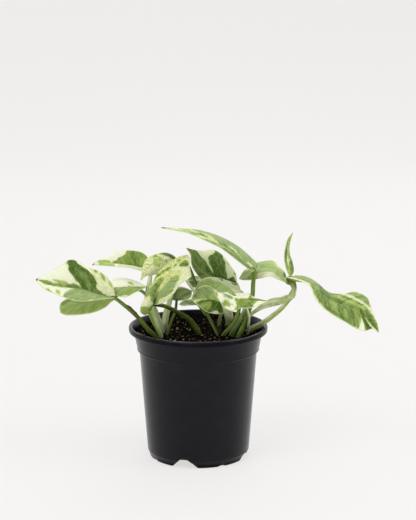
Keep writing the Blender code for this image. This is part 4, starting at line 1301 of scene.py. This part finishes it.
def pot_finish():
    """Moulded black plastic: satin, with a fine grain and a trace of dust."""
    f = Finish("black_plastic")
    place = f.object_place()
    dust = f.step(f.noise(place, 90.0, 5, 0.7), -0.2, 1.2)
    grain = f.noise(place, 2600.0, 2)
    f.surface(Base_Color=f.mix(dust, *PLASTIC_BLACKS), Roughness=f.step(dust, 0.0, 1.0, 0.20, 0.30),
              Normal=f.bump(grain, 0.00001))
    # painted shade: less gloss inside the pot, and a painted darker reflection on the lip's outer face
    dull = f.attribute("dull").outputs["Fac"]
    f.surface(Specular_IOR_Level=f.step(dull, 0.0, 1.0, 0.22, 0.06))
    return f.material


def drill(made, places, radius, low, high):
    """Cut round holes straight down through an object."""
    cutters = []
    for x, y in places:
        bm = bmesh.new()
        bmesh.ops.create_cone(bm, cap_ends=True, segments=DRILL_SIDES, radius1=radius * MM,
                              radius2=radius * MM, depth=(high - low) * MM)
        middle = (np.array((x, y, (low + high) / 2)) + POT_AXIS) * MM
        bmesh.ops.translate(bm, verts=bm.verts, vec=middle)
        mesh = bpy.data.meshes.new("drill")
        bm.to_mesh(mesh)
        bm.free()
        cutter = new_object("drill", mesh)
        modifier = made.modifiers.new("drill", "BOOLEAN")
        modifier.operation = "DIFFERENCE"
        modifier.object = cutter
        cutters.append(cutter)
    graph = bpy.context.evaluated_depsgraph_get()
    drilled = bpy.data.meshes.new_from_object(made.evaluated_get(graph))
    made.modifiers.clear()
    made.data = drilled
    for cutter in cutters:
        bpy.data.objects.remove(cutter, do_unlink=True)


def pot_painted_shade(verts):
    """1 where the plastic is made less glossy, as painted shade inside the pot and, partly, as a painted
    darker reflection on the lip's outer face.
    """
    radius = np.hypot(verts[:, 0], verts[:, 1])
    height = verts[:, 2]
    inside = radius < [inner_radius(h) + WALL / 2 for h in height]
    lip_face = (radius > RIM_RADIUS - 1) & (height < RIM_HEIGHT - 1)
    return np.maximum(inside, LIP_PAINTED_DARK_REFLECTION * lip_face)


def make_pot(finish):
    section = round_corners(pot_corners())

    def shape(radius, angle, height):
        return np.maximum(height, notch_height(angle) * (radius > FOOT_INNER_RADIUS - 0.5))

    verts, faces = revolve(section, POT_SIDES, shape)
    pot = mesh_object("pot_shell", verts, faces, finish, "pot")
    store(pot.data, "dull", "FLOAT", pot_painted_shade(verts))
    turns = [math.radians(BIG_NOTCH_ANGLE) + i * 2 * math.pi / BIG_NOTCHES for i in range(BIG_NOTCHES)]
    places = [(DRAIN_RING_RADIUS * math.cos(a), DRAIN_RING_RADIUS * math.sin(a)) for a in turns]
    drill(pot, places, DRAIN_RADIUS, FLOOR_BOTTOM - 1, FLOOR_BOTTOM + WALL + 1)


# ---------------------------------------------------------------- soil

# how much higher the soil is in the middle, at the back, and against the left of the wall
SOIL_MOUND = 1.2
SOIL_BACK_RISE = 2.4
SOIL_BANK = 2.4
SOIL_WALL_GAP = 0.3
SOIL_EDGE_DEPTH = 2.5
SOIL_RINGS = 70
SOIL_SIDES = 220
# height, grain and seed of the coarse and the fine lumps
SOIL_LUMPS = ((0.9, 3.5, 11), (0.5, 1.6, 12))
SOIL_BROWNS = ((0.0005, 0.0004, 0.0003), (0.0046, 0.0030, 0.0014))

# name: kind of lump, flat shaded or not, how many or where, the smallest and the largest
# half axes, and the finish as a name, its darkest and its lightest colour and its roughness
LITTER = {
    "soil_crumbs": (
        "crumb", True, 1500, ((0.4, 0.4, 0.3), (1.3, 1.2, 1.0)),
        ("soil_crumb", (0.0006, 0.0005, 0.0004), (0.0160, 0.0085, 0.0042), 0.95)),
    "soil_chips": (
        "chip", True, 620, ((0.4, 0.3, 0.15), (1.7, 0.9, 0.45)),
        ("soil_bark", (0.0060, 0.0032, 0.0016), (0.3400, 0.2300, 0.1150), 0.85)),
    "soil_pebbles": (
        "pebble", False, 60, ((0.3, 0.3, 0.3), (0.8, 0.7, 0.6)),
        ("soil_perlite", (0.1200, 0.1000, 0.0600), (0.5500, 0.5200, 0.4300), 0.9)),
    "soil_leaf_bits": (
        "chip", False, ((-20.5, 12.5), (-17, 10.5), (-9, 9), (-6.5, 4.5), (-18, -24)),
        ((2.0, 1.1, 0.2), (3.0, 1.7, 0.4)),
        ("soil_leaf_bit", (0.1800, 0.2300, 0.0700), (0.3200, 0.3700, 0.1500), 0.7)),
}
LITTER_SEED = 21
LITTER_WALL_GAP = 1.5
CHIP_EDGE = 1.3
# shares of its half axis at which a corner of a lump lies, and shares of its thinnest half
# axis by which a lump lies above the soil
DENTS = (0.75, 1.15)
LIFTS = (-0.1, 0.6)


def soil_height(x, y):
    """Uneven top: a low mound with two crossing sets of shallow waves, higher at the back."""
    mound = 1 - (x * x + y * y) / inner_radius(SOIL_TOP) ** 2
    waves = 0.5 * np.sin(0.21 * x + 0.6) * np.cos(0.17 * y) + 0.3 * np.sin(0.33 * y - 0.12 * x)
    rise = SOIL_BACK_RISE * (np.maximum(y, 0.0) / inner_radius(SOIL_TOP)) ** 2
    return SOIL_TOP - SOIL_MOUND + SOIL_MOUND * mound + waves + rise


def soil_surface(x, y):
    """Top of the soil with its lumps, and with a bank against the left of the wall."""
    lumps = sum(height * noise(x / grain, y / grain, seed) for height, grain, seed in SOIL_LUMPS)
    edge = inner_radius(SOIL_TOP)
    bank = SOIL_BANK * smooth(4 * np.hypot(x, y) / edge - 3) * smooth(0.4 - x / edge)
    return soil_height(x, y) + lumps + bank


def soil_finish():
    f = Finish("soil")
    place = f.object_place()
    grains = f.cells(place, 700.0)["Distance"]
    mottle = f.noise(place, 500.0, 4, 0.7)
    f.surface(Base_Color=f.mix(f.step(mottle, -0.6, 0.9), *SOIL_BROWNS), Roughness=0.9,
              Normal=f.bump(f.plus(grains, mottle), 0.0004), Specular_IOR_Level=0.03)
    return f.material


def speck_finish(name, dark, light, roughness):
    """Colour between two, at random from speck to speck and mottled within each."""
    f = Finish(name)
    share = f.attribute("speck").outputs["Fac"]
    place = f.object_place()
    mottle = f.times(f.noise(place, 900.0, 3), 0.2)
    f.surface(Base_Color=f.mix(f.plus(share, mottle, clamp=True), dark, light),
              Roughness=roughness, Specular_IOR_Level=0.05)
    return f.material


def make_soil(finish):
    """Solid that fills the pot, finely lumped on top."""
    edge = inner_radius(SOIL_TOP) - SOIL_WALL_GAP
    low = FLOOR_BOTTOM + WALL + SOIL_WALL_GAP
    section = [(0, low), (inner_radius(low) - SOIL_WALL_GAP, low),
               (inner_radius(COLLAR_BOTTOM) - SOIL_WALL_GAP, COLLAR_BOTTOM),
               (edge, SOIL_TOP - SOIL_EDGE_DEPTH)]
    section += [(edge * ring / SOIL_RINGS, SOIL_TOP) for ring in range(SOIL_RINGS, 0, -1)]
    section.append((0, SOIL_TOP))

    def shape(radius, angle, height):
        top = soil_surface(radius * np.cos(angle), radius * np.sin(angle))
        return np.where(height >= SOIL_TOP, top, height)

    verts, faces = revolve(np.array(section, float), SOIL_SIDES, shape)
    verts[-1, 2] = soil_surface(0.0, 0.0)
    mesh_object("soil_surface", verts, faces, finish, "soil")


def lump_shape(kind):
    """Vertices, about a unit from the middle, and faces of one speck."""
    bm = bmesh.new()
    if kind == "chip":
        bmesh.ops.create_cube(bm, size=CHIP_EDGE)
    else:
        bmesh.ops.create_icosphere(bm, subdivisions=2 if kind == "pebble" else 1, radius=1.0)
    verts = np.array([v.co[:] for v in bm.verts])
    faces = [tuple(v.index for v in face.verts) for face in bm.faces]
    bm.free()
    return verts, faces


def random_turns(rng, count):
    """Rotation matrices, evenly spread over all directions."""
    w, x, y, z = unit(rng.normal(size=(count, 4))).T
    return np.array([
        [1 - 2 * (y * y + z * z), 2 * (x * y - z * w), 2 * (x * z + y * w)],
        [2 * (x * y + z * w), 1 - 2 * (x * x + z * z), 2 * (y * z - x * w)],
        [2 * (x * z - y * w), 2 * (y * z + x * w), 1 - 2 * (x * x + y * y)]]).transpose(2, 0, 1)


def strewn_places(rng, count):
    """Places spread evenly over the round top of the soil."""
    reach = (inner_radius(SOIL_TOP) - LITTER_WALL_GAP) * np.sqrt(rng.uniform(0, 1, count))
    angle = rng.uniform(0, 2 * math.pi, count)
    return np.column_stack([reach * np.cos(angle), reach * np.sin(angle)])


def scatter(name, kind, flat, where, sizes, rng, finish):
    """Specks on the soil as one mesh; sizes are the smallest and the largest half axes."""
    shape, shape_faces = lump_shape(kind)
    places = strewn_places(rng, where) if isinstance(where, int) else np.array(where)
    count = len(places)
    half = rng.uniform(*(np.array(size)[None, :] for size in sizes), (count, 3))
    dented = shape[None] * rng.uniform(*DENTS, (count, len(shape), 1))
    turned = np.einsum("nij,nvj->nvi", random_turns(rng, count), dented * half[:, None, :])
    height = soil_surface(*places.T) + rng.uniform(*LIFTS, count) * half.min(axis=1)
    verts = turned + np.column_stack([places, height])[:, None, :]
    faces = [tuple(i * len(shape) + v for v in face) for i in range(count) for face in shape_faces]
    made = mesh_object(name, verts.reshape(-1, 3), faces, finish, flat=flat)
    store(made.data, "speck", "FLOAT", np.repeat(rng.uniform(0, 1, count) ** 2, len(shape)))


def make_litter():
    """Crumbs, bark, perlite and bits of leaf on the soil."""
    for number, (name, (kind, flat, where, sizes, look)) in enumerate(LITTER.items()):
        rng = np.random.default_rng(LITTER_SEED + number)
        scatter(name, kind, flat, where, sizes, rng, speck_finish(*look))


# ---------------------------------------------------------------- stage, light and camera

WORLD_LIGHT = (0.754, 0.779, 0.820)
WORLD_SEEN = (0.845, 0.850, 0.860)
STAGE_COLOUR = (0.884, 0.870, 0.857)
STAGE_GLOW = 0.75
STAGE_REACH = 40.0
SWEEP_START = 1.5
SWEEP_RADIUS = 1.5
SWEEP_TOP = 6.0
SWEEP_POINTS = 17

# name: place, size and watts of a soft square lamp aimed at the plant, in metres
LAMPS = {
    "key": ((-0.8, -0.9, 1.5), 0.9, 10),
    "fill": ((1.3, -0.3, 1.0), 1.0, 7),
    "back": ((0.2, 1.2, 1.3), 1.0, 8),
}
LAMP_AIM = (0.0, 0.0, 0.12)


def glow_for_camera(f, colour, share):
    """Mix the surface with its own even colour where the camera or a reflection sees it."""
    glow = f.node("Emission", Color=colour, Strength=1.0).outputs[0]
    blend = f.node("MixShader", f.times(f.seen_directly(), share), f.shader.outputs[0], glow)
    f.set(f.tree.nodes["Material Output"].inputs["Surface"], blend.outputs[0])


def make_stage():
    """Pale floor that curves up into a backdrop."""
    f = Finish("studio_paper")
    f.surface(Base_Color=STAGE_COLOUR, Roughness=0.9, Specular_IOR_Level=0.1)
    glow_for_camera(f, STAGE_COLOUR, STAGE_GLOW)
    curve = [(SWEEP_START + SWEEP_RADIUS * math.sin(a), SWEEP_RADIUS - SWEEP_RADIUS * math.cos(a))
             for a in np.linspace(0, math.pi / 2, SWEEP_POINTS)]
    line = [(-STAGE_REACH, 0.0), *curve, (SWEEP_START + SWEEP_RADIUS, SWEEP_TOP)]
    verts = [(x, y, z) for y, z in line for x in (-STAGE_REACH, STAGE_REACH)]
    mesh = bpy.data.meshes.new("studio_sweep")
    mesh.from_pydata(verts, [], grid_faces(len(line), 2))
    mesh.shade_smooth()
    mesh.materials.append(f.material)
    sweep = new_object("studio_sweep", mesh)


def make_lights():
    """Even light from all around, and three soft lamps."""
    world = bpy.data.worlds.new("studio_world")
    world.use_nodes = True
    n = Nodes(world.node_tree)
    background = n.tree.nodes["Background"]
    n.set(background.inputs["Color"], n.mix(n.seen_directly(), WORLD_LIGHT, WORLD_SEEN))
    bpy.context.scene.world = world
    for name, (place, size, watts) in LAMPS.items():
        lamp = bpy.data.lights.new(name, "AREA")
        lamp.shape = "SQUARE"
        lamp.size = size
        lamp.energy = watts
        made = new_object(name, lamp)
        made.location = place
        aim = Vector(LAMP_AIM) - made.location
        made.rotation_euler = aim.to_track_quat("-Z", "Y").to_euler()


def make_camera():
    camera = bpy.data.cameras.new("camera")
    camera.lens = CAMERA_LENS
    made = new_object("camera", camera)
    made.location = CAMERA_PLACE
    made.rotation_euler = (math.radians(CAMERA_PITCH), 0, 0)
    bpy.context.scene.camera = made


# ---------------------------------------------------------------- the whole

def make_plant():
    blades = {}
    leaf = leaf_finish()
    for number, (name, (rib, left, right)) in enumerate(LEAVES.items()):
        blades[name] = Blade(np.array(rib, float), left, right, number)
        make_leaf(name, number, blades[name], leaf)
    stalk = stalk_finish()
    for number, name in enumerate(STALKS):
        make_stalk(name, number, stalk, blades)
    sheath = sheath_finish()
    for number, name in enumerate(SHEATHS):
        make_sheath(name, number, sheath)


bpy.context.scene.view_settings.view_transform = "Standard"
make_camera()
make_stage()
make_lights()
make_pot(pot_finish())
make_soil(soil_finish())
make_litter()
make_plant()
